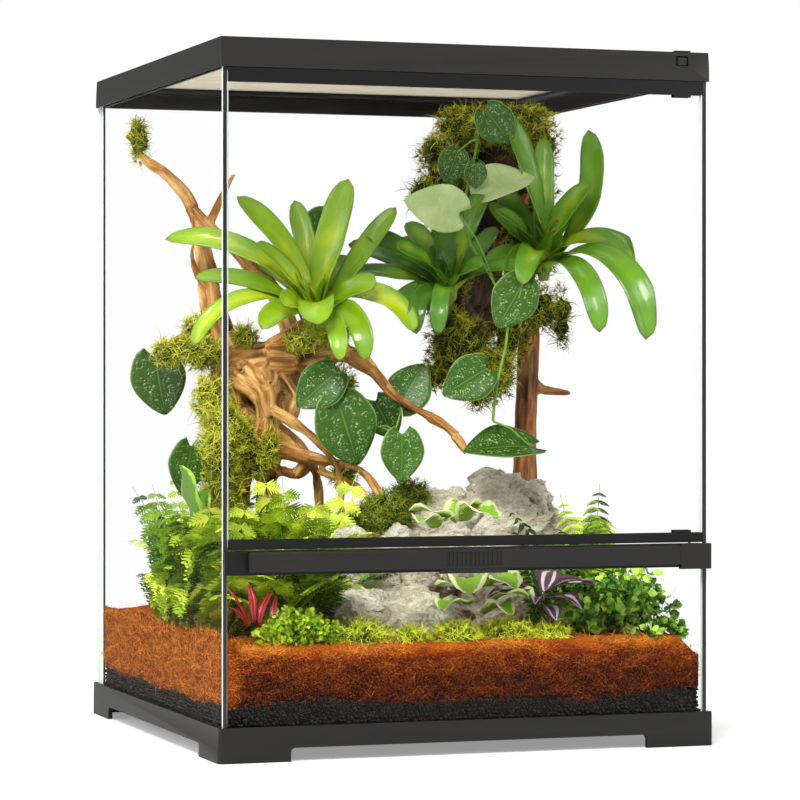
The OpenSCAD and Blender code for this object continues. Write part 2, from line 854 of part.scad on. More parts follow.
// Heart-shaped leaf on its stalk, its face to the front: [x, y, z, length, way of the tip,
// lean], and the point that it grows from; a tip at 0 points right and at 90 up
module vine_leaf(v, root) {
    branch([[root[0], root[1], root[2], stem_r], [v[0], v[1], v[2], stem_r * 0.8]], 5);
    translate([v[0], v[1], v[2]])
        rotate([v[5], -v[4], 0])
            rotate([90, 0, 0])
                translate([0, 0, -leaf_t / 2])
                    linear_extrude(leaf_t)
                        polygon(heart(v[3]));
}

// ---------- stone and wood ----------

// Glass, height and soil that the planting below was laid out for
laid_w = 446;
laid_d = 446;
laid_h = 614;
laid_soil = 96;

// Fits a form of the planting to the room: its places and sizes follow the glass and the height
module in_room() {
    fit = [glass_w / laid_w, glass_d / laid_d, total_h / laid_h];
    multmatrix([[fit[0], 0, 0, 0], [0, fit[1], 0, 0],
            [0, 0, fit[2], soil_z - laid_soil * fit[2]], [0, 0, 0, 1]])
        children();
}

// Flat ground under everything that stands on the soil
module on_soil() {
    edge = 12;
    intersection() {
        children();
        translate([-soil_w + edge, -soil_d + edge, soil_z])
            cube([2 * (soil_w - edge), 2 * (soil_d - edge), total_h]);
    }
}

module stone_form() {
    in_room() {
        translate([120, 5, 165])
            rotate([0, 8, 12])
                boulder([72, 48, 78], 26, 1);
        translate([60, 8, 160])
            rotate([0, -25, 8])
                boulder([64, 44, 72], 24, 2);
        translate([168, 0, 140])
            rotate([0, 20, -10])
                boulder([36, 40, 62], 20, 3);
        translate([-10, -20, 140])
            rotate([0, -10, 15])
                boulder([66, 44, 54], 24, 4);
        translate([-55, -50, 135])
            rotate([8, -12, -20])
                boulder([48, 50, 64], 22, 5);
        translate([-60, -110, 108])
            rotate([14, 0, -12])
                boulder([50, 42, 34], 22, 6);
        translate([-15, -105, 105])
            rotate([10, 6, 14])
                boulder([52, 44, 34], 22, 7);
        translate([100, -40, 120])
            rotate([12, 8, 0])
                boulder([60, 34, 56], 22, 8);
    }
}

module large_stone() {
    color("#9a948a")
        on_soil()
            stone_form();
}

left_trunk = [[-202, 150, 541, 4], [-192, 140, 528, 5], [-182, 130, 522, 6], [-168, 120, 506, 6],
    [-158, 110, 488, 7], [-154, 100, 460, 8], [-149, 95, 428, 9], [-143, 88, 390, 12],
    [-132, 78, 345, 21], [-126, 72, 300, 22], [-124, 72, 262, 20], [-130, 78, 220, 17],
    [-136, 80, 160, 15], [-140, 84, 96, 18]];
left_arm = [[-126, 72, 335, 21], [-100, 45, 344, 21], [-77, 30, 344, 19], [-50, 18, 350, 14],
    [-34, 10, 350, 10], [-16, 0, 333, 7], [-6, -10, 318, 6], [8, -15, 304, 5], [34, -20, 291, 5],
    [57, -25, 274, 5], [68, -30, 256, 4]];
left_leg = [[-100, 45, 340, 19], [-100, 50, 300, 15], [-102, 52, 262, 13], [-100, 56, 200, 10],
    [-98, 62, 96, 12]];
left_roots = [[-102, 52, 262, 9], [-70, 22, 252, 6], [-42, 4, 246, 5], [-21, -6, 238, 4],
    [-12, -14, 216, 4]];
left_prop = [[-70, 22, 252, 5], [-52, 58, 239, 5], [-47, 62, 200, 4], [-46, 68, 96, 5]];
left_spur = [[-158, 104, 484, 5], [-138, 78, 455, 6], [-110, 56, 424, 7], [-88, 40, 392, 8],
    [-82, 34, 356, 10]];
left_twig = [[-152, 98, 456, 5], [-145, 86, 479, 4], [-136, 82, 502, 3], [-127, 80, 518, 2]];

module left_wood_form() {
    in_room() {
        for (route = [left_trunk, left_arm, left_leg, left_roots, left_prop, left_spur, left_twig])
            branch(route);
    }
}

module left_driftwood() {
    color("#8a5a34")
        difference() {
            on_soil()
                left_wood_form();
            stone_form();
        }
}

right_trunk = [[132, 74, 572, 24], [122, 72, 520, 38], [108, 66, 455, 40], [98, 64, 395, 34],
    [90, 62, 345, 22]];
right_post = [[150, 72, 470, 16], [162, 68, 420, 12], [165, 66, 353, 11], [164, 66, 305, 11],
    [162, 68, 250, 12], [160, 72, 160, 13], [158, 76, 96, 16]];
right_stub = [[165, 66, 324, 6], [180, 62, 314, 5], [204, 54, 311, 3]];
right_stub_low = [[80, 60, 452, 9], [44, 60, 458, 5], [24, 58, 455, 4]];

module right_wood_form() {
    in_room() {
        branch(right_trunk, 9);
        for (route = [right_post, right_stub, right_stub_low])
            branch(route);
    }
}

module right_log() {
    color("#3b2c20")
        difference() {
            on_soil()
                right_wood_form();
            stone_form();
        }
}

// ---------- moss ----------

left_tufts = [[-202, 150, 552, 13, 22], [-160, 70, 350, 20, 16], [-148, 60, 300, 17, 30],
    [-152, 66, 250, 16, 34], [-118, 48, 250, 15, 20], [-60, 14, 372, 14, 9],
    [-158, 90, 372, 16, 12], [-146, 70, 200, 16, 26], [-40, 14, 236, 12, 10]];

module left_moss_form() {
    in_room() {
        tufts(left_tufts);
    }
}

module left_wood_moss() {
    color("#5d6a26")
        difference() {
            left_moss_form();
            left_wood_form();
            stone_form();
        }
}

right_tufts = [[96, 50, 566, 34, 22], [140, 46, 572, 40, 24], [168, 66, 552, 28, 34],
    [78, 52, 520, 30, 40], [160, 56, 500, 30, 42], [74, 44, 440, 30, 50], [142, 40, 440, 32, 46],
    [84, 36, 350, 34, 40], [110, 40, 330, 30, 30], [140, 52, 372, 22, 34], [196, 60, 384, 9, 34]];

module right_moss_form() {
    in_room() {
        tufts(right_tufts);
        branch([[160, 60, 392, 5], [196, 60, 384, 5]], 5);
    }
}

module right_log_moss() {
    color("#4f5a22")
        difference() {
            right_moss_form();
            right_wood_form();
        }
}

ground_tufts = [[-85, -178, 96, 30, 20], [-45, -186, 96, 22, 12], [0, -182, 96, 26, 16],
    [52, -172, 96, 30, 16], [88, -180, 96, 22, 10], [-120, -20, 96, 34, 22],
    [20, 66, 96, 30, 18], [100, 110, 96, 40, 22], [-40, 140, 96, 44, 24], [190, -90, 96, 14, 12],
    [-146, -184, 96, 30, 26], [-30, -14, 190, 24, 20], [-4, -10, 203, 24, 20], [20, -6, 215, 18, 16]];

module ground_moss_form() {
    in_room() {
        tufts(ground_tufts);
    }
}

module ground_moss() {
    color("#6c7f2a")
        difference() {
            on_soil()
                ground_moss_form();
            stone_form();
            left_wood_form();
            right_wood_form();
        }
}

// ---------- bromeliads ----------

left_rosette = [-68, 5, 369];
left_blades = [[2, 86, 68, 146, 23], [158, 82, 36, 150, 18], [150, 72, -10, 182, 17],
    [173, 56, -10, 130, 16], [183, 58, -72, 150, 16], [-108, 61, -55, 100, 28],
    [-9, 64, 50, 138, 17], [-33, 73, -74, 124, 20], [-72, 57, -95, 115, 17],
    [-91, 49, -90, 104, 15], [209, 57, -55, 87, 18], [106, 84, 60, 130, 17]];
right_rosette = [150, -12, 425];
right_blades = [[180, 85, 72, 142, 20], [80, 88, 70, 132, 17], [-12, 85, 50, 146, 20],
    [-38, 65, -70, 104, 18], [-60, 40, -95, 150, 20], [-80, 30, -92, 120, 18],
    [220, 60, -100, 104, 16], [-125, 58, -78, 100, 18], [165, 65, 38, 84, 16],
    [200, 50, -40, 78, 14]];
centre_rosette = [57, -7, 398];
centre_blades = [[8, 80, 56, 126, 16], [-20, 65, 48, 82, 16], [132, 58, 25, 78, 16],
    [152, 50, 8, 112, 18], [170, 40, -10, 100, 16], [190, 45, -60, 66, 14],
    [216, 46, -105, 88, 14], [-118, 50, -110, 90, 14], [100, 82, 78, 92, 16],
    [-48, 55, -15, 90, 14]];

module left_bromeliad_form() {
    in_room() {
        translate(left_rosette)
            bromeliad(left_blades, 9);
    }
}

module right_bromeliad_form() {
    in_room() {
        translate(right_rosette)
            bromeliad(right_blades, 10);
        branch([[150, -12, 422, 7], [146, 40, 425, 8]], 6);
    }
}

module centre_bromeliad_form() {
    in_room() {
        translate(centre_rosette)
            bromeliad(centre_blades, 8);
        branch([[56, -2, 392, 6], [72, 40, 400, 7]], 6);
    }
}

// What the plants grow on, cut out of them so that they sit against it
module plant_seats() {
    stone_form();
    left_wood_form();
    right_wood_form();
    left_moss_form();
    right_moss_form();
}

module left_bromeliad() {
    color("#7fb52e")
        difference() {
            left_bromeliad_form();
            plant_seats();
        }
}

module right_bromeliad() {
    color("#6fae35")
        difference() {
            right_bromeliad_form();
            plant_seats();
        }
}

module centre_bromeliad() {
    color("#4f8f30")
        difference() {
            centre_bromeliad_form();
            plant_seats();
            right_bromeliad_form();
            left_bromeliad_form();
        }
}

// ---------- vines ----------

right_stem = [[96, 20, 568, 2], [84, -16, 548, 2], [70, -24, 510, 2], [62, -26, 462, 2],
    [86, -46, 420, 2], [100, -60, 376, 2], [84, -58, 316, 2], [82, -58, 286, 2]];
right_vine_leaves = [[88, -24, 575, 38, -50, 10], [62, -16, 536, 30, -110, 10],
    [74, -34, 524, 22, -90, 10], [80, -36, 498, 52, 20, -25], [56, -38, 478, 52, 170, -20],
    [108, -68, 414, 46, -120, 10], [72, -66, 334, 44, -150, 10], [84, -66, 282, 56, -70, -30]];
left_stem = [[-58, 12, 350, 2], [-50, -16, 324, 2], [-38, -20, 296, 2], [-20, -24, 280, 2],
    [-6, -36, 276, 2]];
left_vine_leaves = [[-58, -26, 304, 60, -70, 0], [-60, -24, 330, 44, -140, 10],
    [-24, -32, 304, 38, -60, 10], [-2, -44, 274, 42, -90, 0], [0, -34, 300, 44, 60, -20]];
rear_stem = [[-142, 74, 336, 2], [-172, 108, 344, 2], [-194, 114, 350, 2]];
rear_vine_leaves = [[-196, 108, 346, 54, -80, 0], [-176, 50, 262, 42, -100, 0]];

module left_vine_form() {
    in_room() {
        branch(left_stem, 5);
        for (i = [0:len(left_vine_leaves) - 1])
            vine_leaf(left_vine_leaves[i], left_stem[min(i, len(left_stem) - 1)]);
        branch(rear_stem, 5);
        vine_leaf(rear_vine_leaves[0], rear_stem[2]);
        vine_leaf(rear_vine_leaves[1], [-158, 62, 272]);
    }
}

module right_vine_form() {
    in_room() {
        branch(right_stem, 5);
        for (i = [0:len(right_vine_leaves) - 1])
            vine_leaf(right_vine_leaves[i], right_stem[i]);
    }
}

module left_vine() {
    color("#3d7f3a")
        difference() {
            left_vine_form();
            plant_seats();
            left_bromeliad_form();
        }
}

module right_vine() {
    color("#468a41")
        difference() {
            right_vine_form();
            plant_seats();
            right_bromeliad_form();
            centre_bromeliad_form();
        }
}

// ---------- ferns and small plants ----------

// Clump of n arching fronds around a low crown on the soil
module fern(p, n, l, w, lean) {
    crown_r = 9;
    translate([p[0], p[1], laid_soil]) {
        sphere(crown_r, $fn = 6);
        for (i = [0:n - 1]) {
            turn = i * 360 / n + 30 * scatter(i + p[0]);
            translate([crown_r * 0.6 * cos(turn), crown_r * 0.6 * sin(turn), 2])
                blade([turn, 75, lean, l * (0.75 + 0.25 * scatter(i)), w], 3, true);
        }
    }
}

module left_fern_form() {
    in_room() {
        fern([-166, -62], 6, 112, 22, 5);
        fern([-172, 22], 5, 104, 22, 20);
        fern([-138, -136], 6, 92, 20, 5);
        fern([-168, 134], 5, 112, 22, 30);
    }
}

module right_fern_form() {
    in_room() {
        fern([146, 125], 5, 112, 20, 30);
        fern([184, 61], 4, 115, 16, 40);
        fern([194, -55], 5, 114, 20, 30);
    }
}

// Room between the panes, over the soil
module interior() {
    wall_gap = 2;
    translate([-in_x + wall_gap, -in_y + wall_gap, soil_z])
        cube([2 * (in_x - wall_gap), 2 * (in_y - wall_gap), frame_z - soil_z]);
}

// A small plant on the soil, kept between the panes and cut clear of what stands beside it
module planted() {
    difference() {
        intersection() {
            children();
            interior();
        }
        plant_seats();
        ground_moss_form();
    }
}

module left_ferns() {
    color("#6fae3c")
        planted()
            left_fern_form();
}

module right_ferns() {
    color("#4f9a3c")
        planted()
            right_fern_form();
}

module leafy_bush_form() {
    middle = [165, -136];
    in_room() {
        for (i = [0:7]) {
            tip = [128 + 70 * scatter(i + 3), -186 + 80 * scatter(i + 17),
                laid_soil + 20 + 30 * scatter(i + 5)];
            foot = middle + 0.41 * [tip[0] - middle[0], tip[1] - middle[1]];
            branch([[foot[0], foot[1], laid_soil, 2], [tip[0], tip[1], tip[2], 1.6]], 5);
            tufts([[tip[0], tip[1], tip[2] + 2, 15, 11]]);
        }
    }
}

module leafy_bush() {
    color("#4d8c33")
        planted()
            leafy_bush_form();
}

striped_crown = [92, -150];
striped_blades = [[10, 70, 0, 70, 18], [62, 75, 20, 60, 16], [130, 70, 10, 66, 17],
    [180, 65, -10, 60, 16], [-60, 60, -30, 50, 16], [-20, 80, 40, 62, 17],
    [-120, 80, 40, 56, 15]];

module striped_plant_form() {
    crown_r = 8;
    in_room() {
        translate([striped_crown[0], striped_crown[1], laid_soil]) {
            sphere(crown_r, $fn = 7);
            for (b = striped_blades)
                translate([crown_r * 0.5 * cos(b[0]), crown_r * 0.5 * sin(b[0]), 2])
                    blade(b, 3);
        }
    }
}

module striped_plant() {
    color("#8d6f86")
        difference() {
            planted()
                striped_plant_form();
            leafy_bush_form();
        }
}

base_frame();
floor_glass();
left_glass();
right_glass();
back_glass();
front_lower_glass();
rear_left_seal();
rear_right_seal();
left_edge_trim();
right_edge_trim();
top_frame();
inlet_slider_left();
inlet_slider_right();
cover_frame();
cover_mesh();
cover_lock();
front_bar();
bar_hinge_block();
latch_lever();
lever_pin_left();
lever_pin_right();
door_glass();
door_top_rail();
door_bottom_rail();
lower_hinge_clip();
upper_hinge_clip();
lower_hinge_pin();
upper_hinge_pin();
door_stop();
drainage_layer();
coir_layer();
large_stone();
left_driftwood();
left_wood_moss();
right_log();
right_log_moss();
left_bromeliad();
right_bromeliad();
centre_bromeliad();
left_vine();
right_vine();
left_ferns();
right_ferns();
ground_moss();
leafy_bush();
striped_plant();
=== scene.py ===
"""Looks of the planted reptile terrarium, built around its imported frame.

Sizes are in millimetres in the classes and become metres when a mesh is placed. The origin is on
the floor under the middle of the glass box: +X right, +Y back, +Z up.
"""

import json
import logging
import math
import random
from dataclasses import dataclass
from enum import Enum
from typing import Callable, Iterator, Sequence

import bmesh
import bpy
import numpy as np
from mathutils import Matrix, Vector, noise

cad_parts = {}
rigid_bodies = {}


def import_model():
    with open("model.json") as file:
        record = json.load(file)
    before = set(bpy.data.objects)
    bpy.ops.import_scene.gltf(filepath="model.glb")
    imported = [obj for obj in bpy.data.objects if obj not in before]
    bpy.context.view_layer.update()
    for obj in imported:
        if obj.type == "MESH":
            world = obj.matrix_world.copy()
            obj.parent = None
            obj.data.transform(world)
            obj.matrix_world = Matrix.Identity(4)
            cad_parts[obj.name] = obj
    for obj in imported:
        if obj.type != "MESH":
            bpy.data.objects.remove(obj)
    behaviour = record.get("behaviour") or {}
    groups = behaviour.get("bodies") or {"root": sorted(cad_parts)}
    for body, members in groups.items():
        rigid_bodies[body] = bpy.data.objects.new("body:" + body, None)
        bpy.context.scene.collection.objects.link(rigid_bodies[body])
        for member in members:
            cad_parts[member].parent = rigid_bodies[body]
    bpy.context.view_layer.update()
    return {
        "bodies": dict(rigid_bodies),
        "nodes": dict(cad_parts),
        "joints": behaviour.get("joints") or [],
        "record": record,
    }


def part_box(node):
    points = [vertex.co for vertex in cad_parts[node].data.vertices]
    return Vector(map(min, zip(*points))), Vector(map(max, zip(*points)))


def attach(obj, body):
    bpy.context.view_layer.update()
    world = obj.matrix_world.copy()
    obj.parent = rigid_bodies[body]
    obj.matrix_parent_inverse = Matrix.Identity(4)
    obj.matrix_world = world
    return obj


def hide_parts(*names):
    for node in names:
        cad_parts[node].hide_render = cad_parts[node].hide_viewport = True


MM = 0.001
ROOM = 217.0  # half the width that leaves and moss may fill between the panes
LEAVES = 216.5  # the same for leaves that are moved back whole
CEILING = 594.0
SOIL = 96.0  # level of the soil away from the panes
LOG = logging.getLogger("terrarium")
Colour = tuple[float, float, float, float]
Point = tuple[float, float, float]


# ---------- shader maths ----------


def tint(code: str, gain: float = 1.0) -> Colour:
    """Turn a hex colour into a linear one.

    Args:
        code: Six hex digits.
        gain: Factor on its brightness.

    Returns:
        The linear colour with alpha 1.
    """
    parts = [int(code[i:i + 2], 16) / 255 for i in (0, 2, 4)]
    lin = [c / 12.92 if c <= 0.04045 else ((c + 0.055) / 1.055) ** 2.4 for c in parts]
    return (lin[0] * gain, lin[1] * gain, lin[2] * gain, 1.0)


class Wire:
    """A socket on which arithmetic adds Math nodes."""

    def __init__(self, paint: "Paint", socket: bpy.types.NodeSocket) -> None:
        """Keep the material's builder and the socket."""
        self.paint = paint
        self.socket = socket

    def _op(self, name: str, a: "Wire | float", b: "Wire | float") -> "Wire":
        """Add one Math node."""
        node = self.paint.add("ShaderNodeMath", {"operation": name}, {0: a, 1: b})
        return Wire(self.paint, node.outputs[0])

    def __add__(self, other: "Wire | float") -> "Wire":
        """Sum."""
        return self._op("ADD", self, other)

    def __sub__(self, other: "Wire | float") -> "Wire":
        """Difference."""
        return self._op("SUBTRACT", self, other)

    def __rsub__(self, other: float) -> "Wire":
        """Difference, reflected."""
        return self._op("SUBTRACT", other, self)

    def __mul__(self, other: "Wire | float") -> "Wire":
        """Product."""
        return self._op("MULTIPLY", self, other)

    def __gt__(self, other: float) -> "Wire":
        """1 where greater."""
        return self._op("GREATER_THAN", self, other)

    def __lt__(self, other: float) -> "Wire":
        """1 where less."""
        return self._op("LESS_THAN", self, other)

    def __abs__(self) -> "Wire":
        """Absolute value."""
        return self._op("ABSOLUTE", self, 0.0)


class Paint:
    """Builder of one procedural material."""

    def __init__(self, name: str) -> None:
        """Start an empty material with an output."""
        self.material = bpy.data.materials.new(name)
        self.material.use_nodes = True
        self.tree = self.material.node_tree
        self.tree.nodes.clear()
        self.output = self.tree.nodes.new("ShaderNodeOutputMaterial")

    def add(self, kind: str, settings: dict | None = None,
            sockets: dict | None = None) -> bpy.types.Node:
        """Add any node.

        Args:
            kind: The node's type.
            settings: Properties set first; "stops" are a ramp's (position, colour) pairs.
            sockets: Values or wires by input name or number.

        Returns:
            The node.
        """
        node = self.tree.nodes.new(kind)
        for key, value in (settings or {}).items():
            if key == "stops":
                elements = node.color_ramp.elements
                while len(elements) > len(value):
                    elements.remove(elements[-1])
                while len(elements) < len(value):
                    elements.new(1.0)
                for element, (position, colour) in zip(elements, value):
                    element.position = position
                    element.color = colour
            else:
                setattr(node, key, value)
        for key, value in (sockets or {}).items():
            if isinstance(value, Wire):
                self.tree.links.new(value.socket, node.inputs[key])
            else:
                node.inputs[key].default_value = value
        return node

    def out(self, node: bpy.types.Node, key: str | int = 0) -> Wire:
        """Wrap one of a node's outputs."""
        return Wire(self, node.outputs[key])

    def spot(self, stretch: Point = (1, 1, 1)) -> Wire:
        """Object coordinates, scaled along each axis."""
        return self.mapped(self.out(self.add("ShaderNodeTexCoord"), "Object"), stretch)

    def mapped(self, vector: Wire, stretch: Point) -> Wire:
        """A vector scaled along each axis."""
        if stretch == (1, 1, 1):
            return vector
        return self.out(self.add("ShaderNodeMapping", None, {"Vector": vector, "Scale": stretch}))

    def leaf(self) -> tuple[Wire, Wire, Wire]:
        """A leaf's own map, how far across from its middle, 0 to 1, and how far along it."""
        uv = self.out(self.add("ShaderNodeUVMap", {"uv_map": "leaf"}))
        return uv, abs(self.part(uv, "X") - 0.5) * 2.0, self.part(uv, "Y")

    def own(self, name: str, key: str = "Fac") -> Wire:
        """One of the mesh's own attributes."""
        return self.out(self.add("ShaderNodeAttribute", {"attribute_name": name}), key)

    def part(self, vector: Wire, axis: str) -> Wire:
        """The x, y or z of a vector."""
        return self.out(self.add("ShaderNodeSeparateXYZ", None, {0: vector}), axis)

    def noise(self, vector: Wire, scale: float, detail: float = 3, rough: float = 0.55,
              twist: float = 0.0) -> Wire:
        """Noise between 0 and 1."""
        return self.out(self.add("ShaderNodeTexNoise", None, {
            "Vector": vector, "Scale": scale, "Detail": detail, "Roughness": rough,
            "Distortion": twist}))

    def cells(self, vector: Wire, scale: float, feature: str = "F1",
              key: str = "Distance") -> Wire:
        """Voronoi cells."""
        node = self.add("ShaderNodeTexVoronoi", {"feature": feature},
                        {"Vector": vector, "Scale": scale})
        return self.out(node, key)

    def steps(self, value: Wire, low: float, high: float, a: float = 0.0,
              b: float = 1.0) -> Wire:
        """Map low..high to a..b, clamped."""
        node = self.add("ShaderNodeMapRange", {"interpolation_type": "SMOOTHSTEP"}, {
            "Value": value, "From Min": low, "From Max": high, "To Min": a, "To Max": b})
        return self.out(node)

    def mix(self, factor: Wire | float, a: Wire | Colour, b: Wire | Colour,
            blend: str = "MIX") -> Wire:
        """Mix two colours."""
        node = self.add("ShaderNodeMix", {"data_type": "RGBA", "blend_type": blend},
                        {0: factor, 6: a, 7: b})
        return self.out(node, 2)

    def ramp(self, value: Wire, *stops: tuple[float, Colour]) -> Wire:
        """Colour ramp."""
        return self.out(self.add("ShaderNodeValToRGB", {"stops": list(stops)}, {0: value}))

    def bump(self, height: Wire, distance: float, strength: float = 1.0) -> Wire:
        """Normal from a height, in metres."""
        return self.out(self.add("ShaderNodeBump", None, {
            "Height": height, "Distance": distance, "Strength": strength}))

    def surface(self, **sockets: object) -> Wire:
        """Principled shader; words in a name stand for its spaces."""
        named = {key.replace("_", " "): value for key, value in sockets.items()}
        return self.out(self.add("ShaderNodeBsdfPrincipled", None, named))

    def done(self, shader: Wire) -> bpy.types.Material:
        """Link the shader and return the material."""
        self.tree.links.new(shader.socket, self.output.inputs["Surface"])
        return self.material


# ---------- finishes ----------


@dataclass(frozen=True)
class MouldedPlastic:
    """Satin black moulding with a fine spark-eroded grain."""

    name: str
    colour: str
    rough: float = 0.36

    def material(self) -> bpy.types.Material:
        """Build the material."""
        p = Paint(self.name)
        spot = p.spot()
        grain = p.noise(spot, 2400, 2)
        broad = p.noise(spot, 9, 3)
        colour = p.mix(broad, tint(self.colour, 0.86), tint(self.colour, 1.16))
        return p.done(p.surface(
            Base_Color=colour, Roughness=grain * 0.1 + (self.rough - 0.05) + broad * 0.06,
            Specular_IOR_Level=0.28,
            Normal=p.bump(grain, 0.00004, 0.5)))


class PaneEdge(Enum):
    """How the narrow faces of a pane look."""

    DARK = "sealed in black"
    LIGHT = "polished, pale green"


@dataclass(frozen=True)
class ClearGlass:
    """Float glass: clear faces with a faint reflection, and coloured edges."""

    name: str
    normal_axis: str
    edge: PaneEdge

    def material(self) -> bpy.types.Material:
        """Build the material."""
        p = Paint(self.name)
        geometry = p.add("ShaderNodeNewGeometry")
        is_edge = abs(p.part(p.out(geometry, "Normal"), self.normal_axis)) < 0.5
        entering = 1.0 - p.out(geometry, "Backfacing")
        fresnel = p.out(p.add("ShaderNodeFresnel", None, {"IOR": 1.45}))
        clear = p.out(p.add("ShaderNodeBsdfTransparent", None,
                            {"Color": (0.9985, 1.0, 0.999, 1)}))
        mirror = p.steps(fresnel, 0.03, 1.0, 0.004, 0.13) * entering
        shine = p.out(p.add("ShaderNodeBsdfGlossy", None, {
            "Color": (1, 1, 1, 1), "Roughness": 0.01}))
        face = p.out(p.add("ShaderNodeMixShader", None, {0: mirror, 1: clear, 2: shine}))
        if self.edge is PaneEdge.DARK:
            rim = p.surface(Base_Color=tint("20211f"), Roughness=0.35)
        else:
            cloud = p.noise(p.spot((1, 1, 0.05)), 900, 2)
            rim = p.surface(Base_Color=p.mix(cloud, tint("c9dccb"), tint("eef6ee")),
                            Roughness=0.2)
        return p.done(p.out(p.add("ShaderNodeMixShader", None, {0: is_edge, 1: face, 2: rim})))


@dataclass(frozen=True)
class BlackRubber:
    """Semi-matt black silicone or trim, with a painted highlight along its outer edge if asked."""

    name: str
    painted_highlight_x: float = 0.0

    def material(self) -> bpy.types.Material:
        """Build the material."""
        p = Paint(self.name)
        spot = p.spot()
        wave = p.noise(p.mapped(spot, (1, 1, 0.2)), 160, 3)
        colour = p.mix(wave, tint("0e0f0f"), tint("1f201f"))
        if self.painted_highlight_x:
            # painted highlight: a near-white line where the trim's outer edge catches the light
            line = abs(p.part(spot, "X")) > self.painted_highlight_x * MM
            colour = p.mix(line, colour, tint("e6e8e6"))
        return p.done(p.surface(Base_Color=colour, Roughness=0.3,
                                Normal=p.bump(wave, 0.0003, 0.4)))


@dataclass(frozen=True)
class Steel:
    """Drawn or woven steel."""

    name: str
    colour: str
    rough: float = 0.35

    def material(self) -> bpy.types.Material:
        """Build the material."""
        p = Paint(self.name)
        draw = p.noise(p.spot((40, 40, 2)), 60, 3)
        return p.done(p.surface(
            Base_Color=p.mix(draw, tint(self.colour, 0.8), tint(self.colour, 1.1)), Metallic=0.85,
            Roughness=draw * 0.15 + self.rough, Normal=p.bump(draw, 0.00002, 0.4)))


@dataclass(frozen=True)
class MeshCloth:
    """Beige coated wire of the cover's mesh."""

    name: str = "beige_wire"

    def material(self) -> bpy.types.Material:
        """Build the material."""
        p = Paint(self.name)
        wear = p.noise(p.spot(), 55, 4)
        return p.done(p.surface(Base_Color=p.mix(wear, tint("c9bfa9"), tint("efe7d6")),
                                Roughness=0.55, Metallic=0.15))


@dataclass(frozen=True)
class FiredClay:
    """Black fired clay of the beads, each of its own tone."""

    name: str = "black_clay"

    def material(self) -> bpy.types.Material:
        """Build the material."""
        p = Paint(self.name)
        tone = p.own("tone")
        pores = p.noise(p.spot(), 1800, 3)
        colour = p.mix(tone, tint("040303"), tint("2e2319"))
        return p.done(p.surface(Base_Color=colour, Roughness=pores * 0.25 + 0.3,
                                Specular_IOR_Level=0.2,
                                Normal=p.bump(pores, 0.0002, 0.6)))


@dataclass(frozen=True)
class Coir:
    """Coconut fibre with painted light and shade: darker and redder lower down, paler and orange
    towards its top, a painted highlight along its crest and an evenly lit left face.
    """

    name: str
    dark: str = "1e0a04"
    mid: str = "782c06"
    pale: str = "cc7412"

    def material(self) -> bpy.types.Material:
        """Build the material."""
        p = Paint(self.name)
        spot = p.spot()
        tone = p.own("tone")
        # painted shade and light: height darkens the fibre lower down and lightens it towards the
        # top, and the crest mask adds a painted highlight along the top few millimetres
        height = p.steps(p.part(spot, "Z") + (p.noise(spot, 30, 2) - 0.5) * 0.02, 0.058, 0.09)
        side = p.steps(p.part(spot, "X"), -0.214, -0.2)
        painted_crest_highlight = p.steps(p.part(spot, "Z") + (p.noise(spot, 50, 2) - 0.5) * 0.012, 0.084, 0.094)
        # painted light: the left face, past x = -214 mm, is painted evenly lit at 0.8 instead of
        # the height shading
        bright = (height * 0.28 + painted_crest_highlight * 0.36 + 0.34) * side + (1.0 - side) * 0.8
        crumbs = p.noise(p.mapped(spot, (1, 1, 1.6)), 520, 4, 0.7)
        patches = p.noise(p.mapped(spot, (1, 1, 2.2)), 46, 3, 0.6)
        value = (bright * 0.72 + tone * 0.34 + (crumbs - 0.5) * 1.1 + (patches - 0.5) * 0.55
                 - 0.14)
        colour = p.ramp(value, (0.08, tint(self.dark)), (0.42, tint(self.mid)),
                        (0.85, tint(self.pale)))
        return p.done(p.surface(Base_Color=colour, Roughness=0.9, Specular_IOR_Level=0.08,
                                Normal=p.bump(crumbs, 0.0008, 0.8)))


@dataclass(frozen=True)
class PittedRock:
    """Grey-beige stone with pits, cracks and a little moss, and painted shade in its pits and
    hollows.
    """

    name: str = "pitted_rock"

    def material(self) -> bpy.types.Material:
        """Build the material."""
        p = Paint(self.name)
        spot = p.spot()
        bed = p.mapped(spot, (1, 1, 1.8))
        broad = p.noise(bed, 16, 5, 0.6)
        fine = p.noise(spot, 240, 6, 0.72)
        mid = p.noise(bed, 78, 5, 0.62, 0.5)
        pits = p.steps(p.cells(p.mapped(spot, (1, 1, 1.5)), 190, "SMOOTH_F1"), 0.02, 0.26)
        veins = p.steps(p.noise(bed, 34, 4, 0.6, 1.6), 0.5, 0.56)
        hollow = p.own("hollow")
        colour = p.ramp(fine * 0.25 + broad * 0.35 + mid * 0.4, (0.3, tint("b4a684")),
                        (0.44, tint("f2e6c6")), (0.56, tint("fff8e0")))
        # painted shade: the bottoms of the pits are darkened
        colour = p.mix((1.0 - pits) * 0.42, colour, tint("5a5038"))
        colour = p.mix(veins * 0.16, colour, tint("9a7a56"))
        # painted shade: the deepest hollows of the eroded skin are darkened
        colour = p.mix(p.steps(hollow, 0.66, 0.94) * 0.7, colour, tint("4a3f2a"))
        growth = p.steps(p.noise(spot, 21, 4, 0.7) + p.noise(spot, 300, 2) * 0.14, 0.7, 0.76)
        colour = p.mix(growth * 0.6, colour, tint("7c7a26"))
        relief = p.steps(fine, 0.3, 0.7) * 0.35 + pits * 0.4 + p.steps(mid, 0.3, 0.7) * 1.5
        return p.done(p.surface(Base_Color=colour, Roughness=0.88, Specular_IOR_Level=0.2,
                                Normal=p.bump(relief, 0.0034, 1.0)))


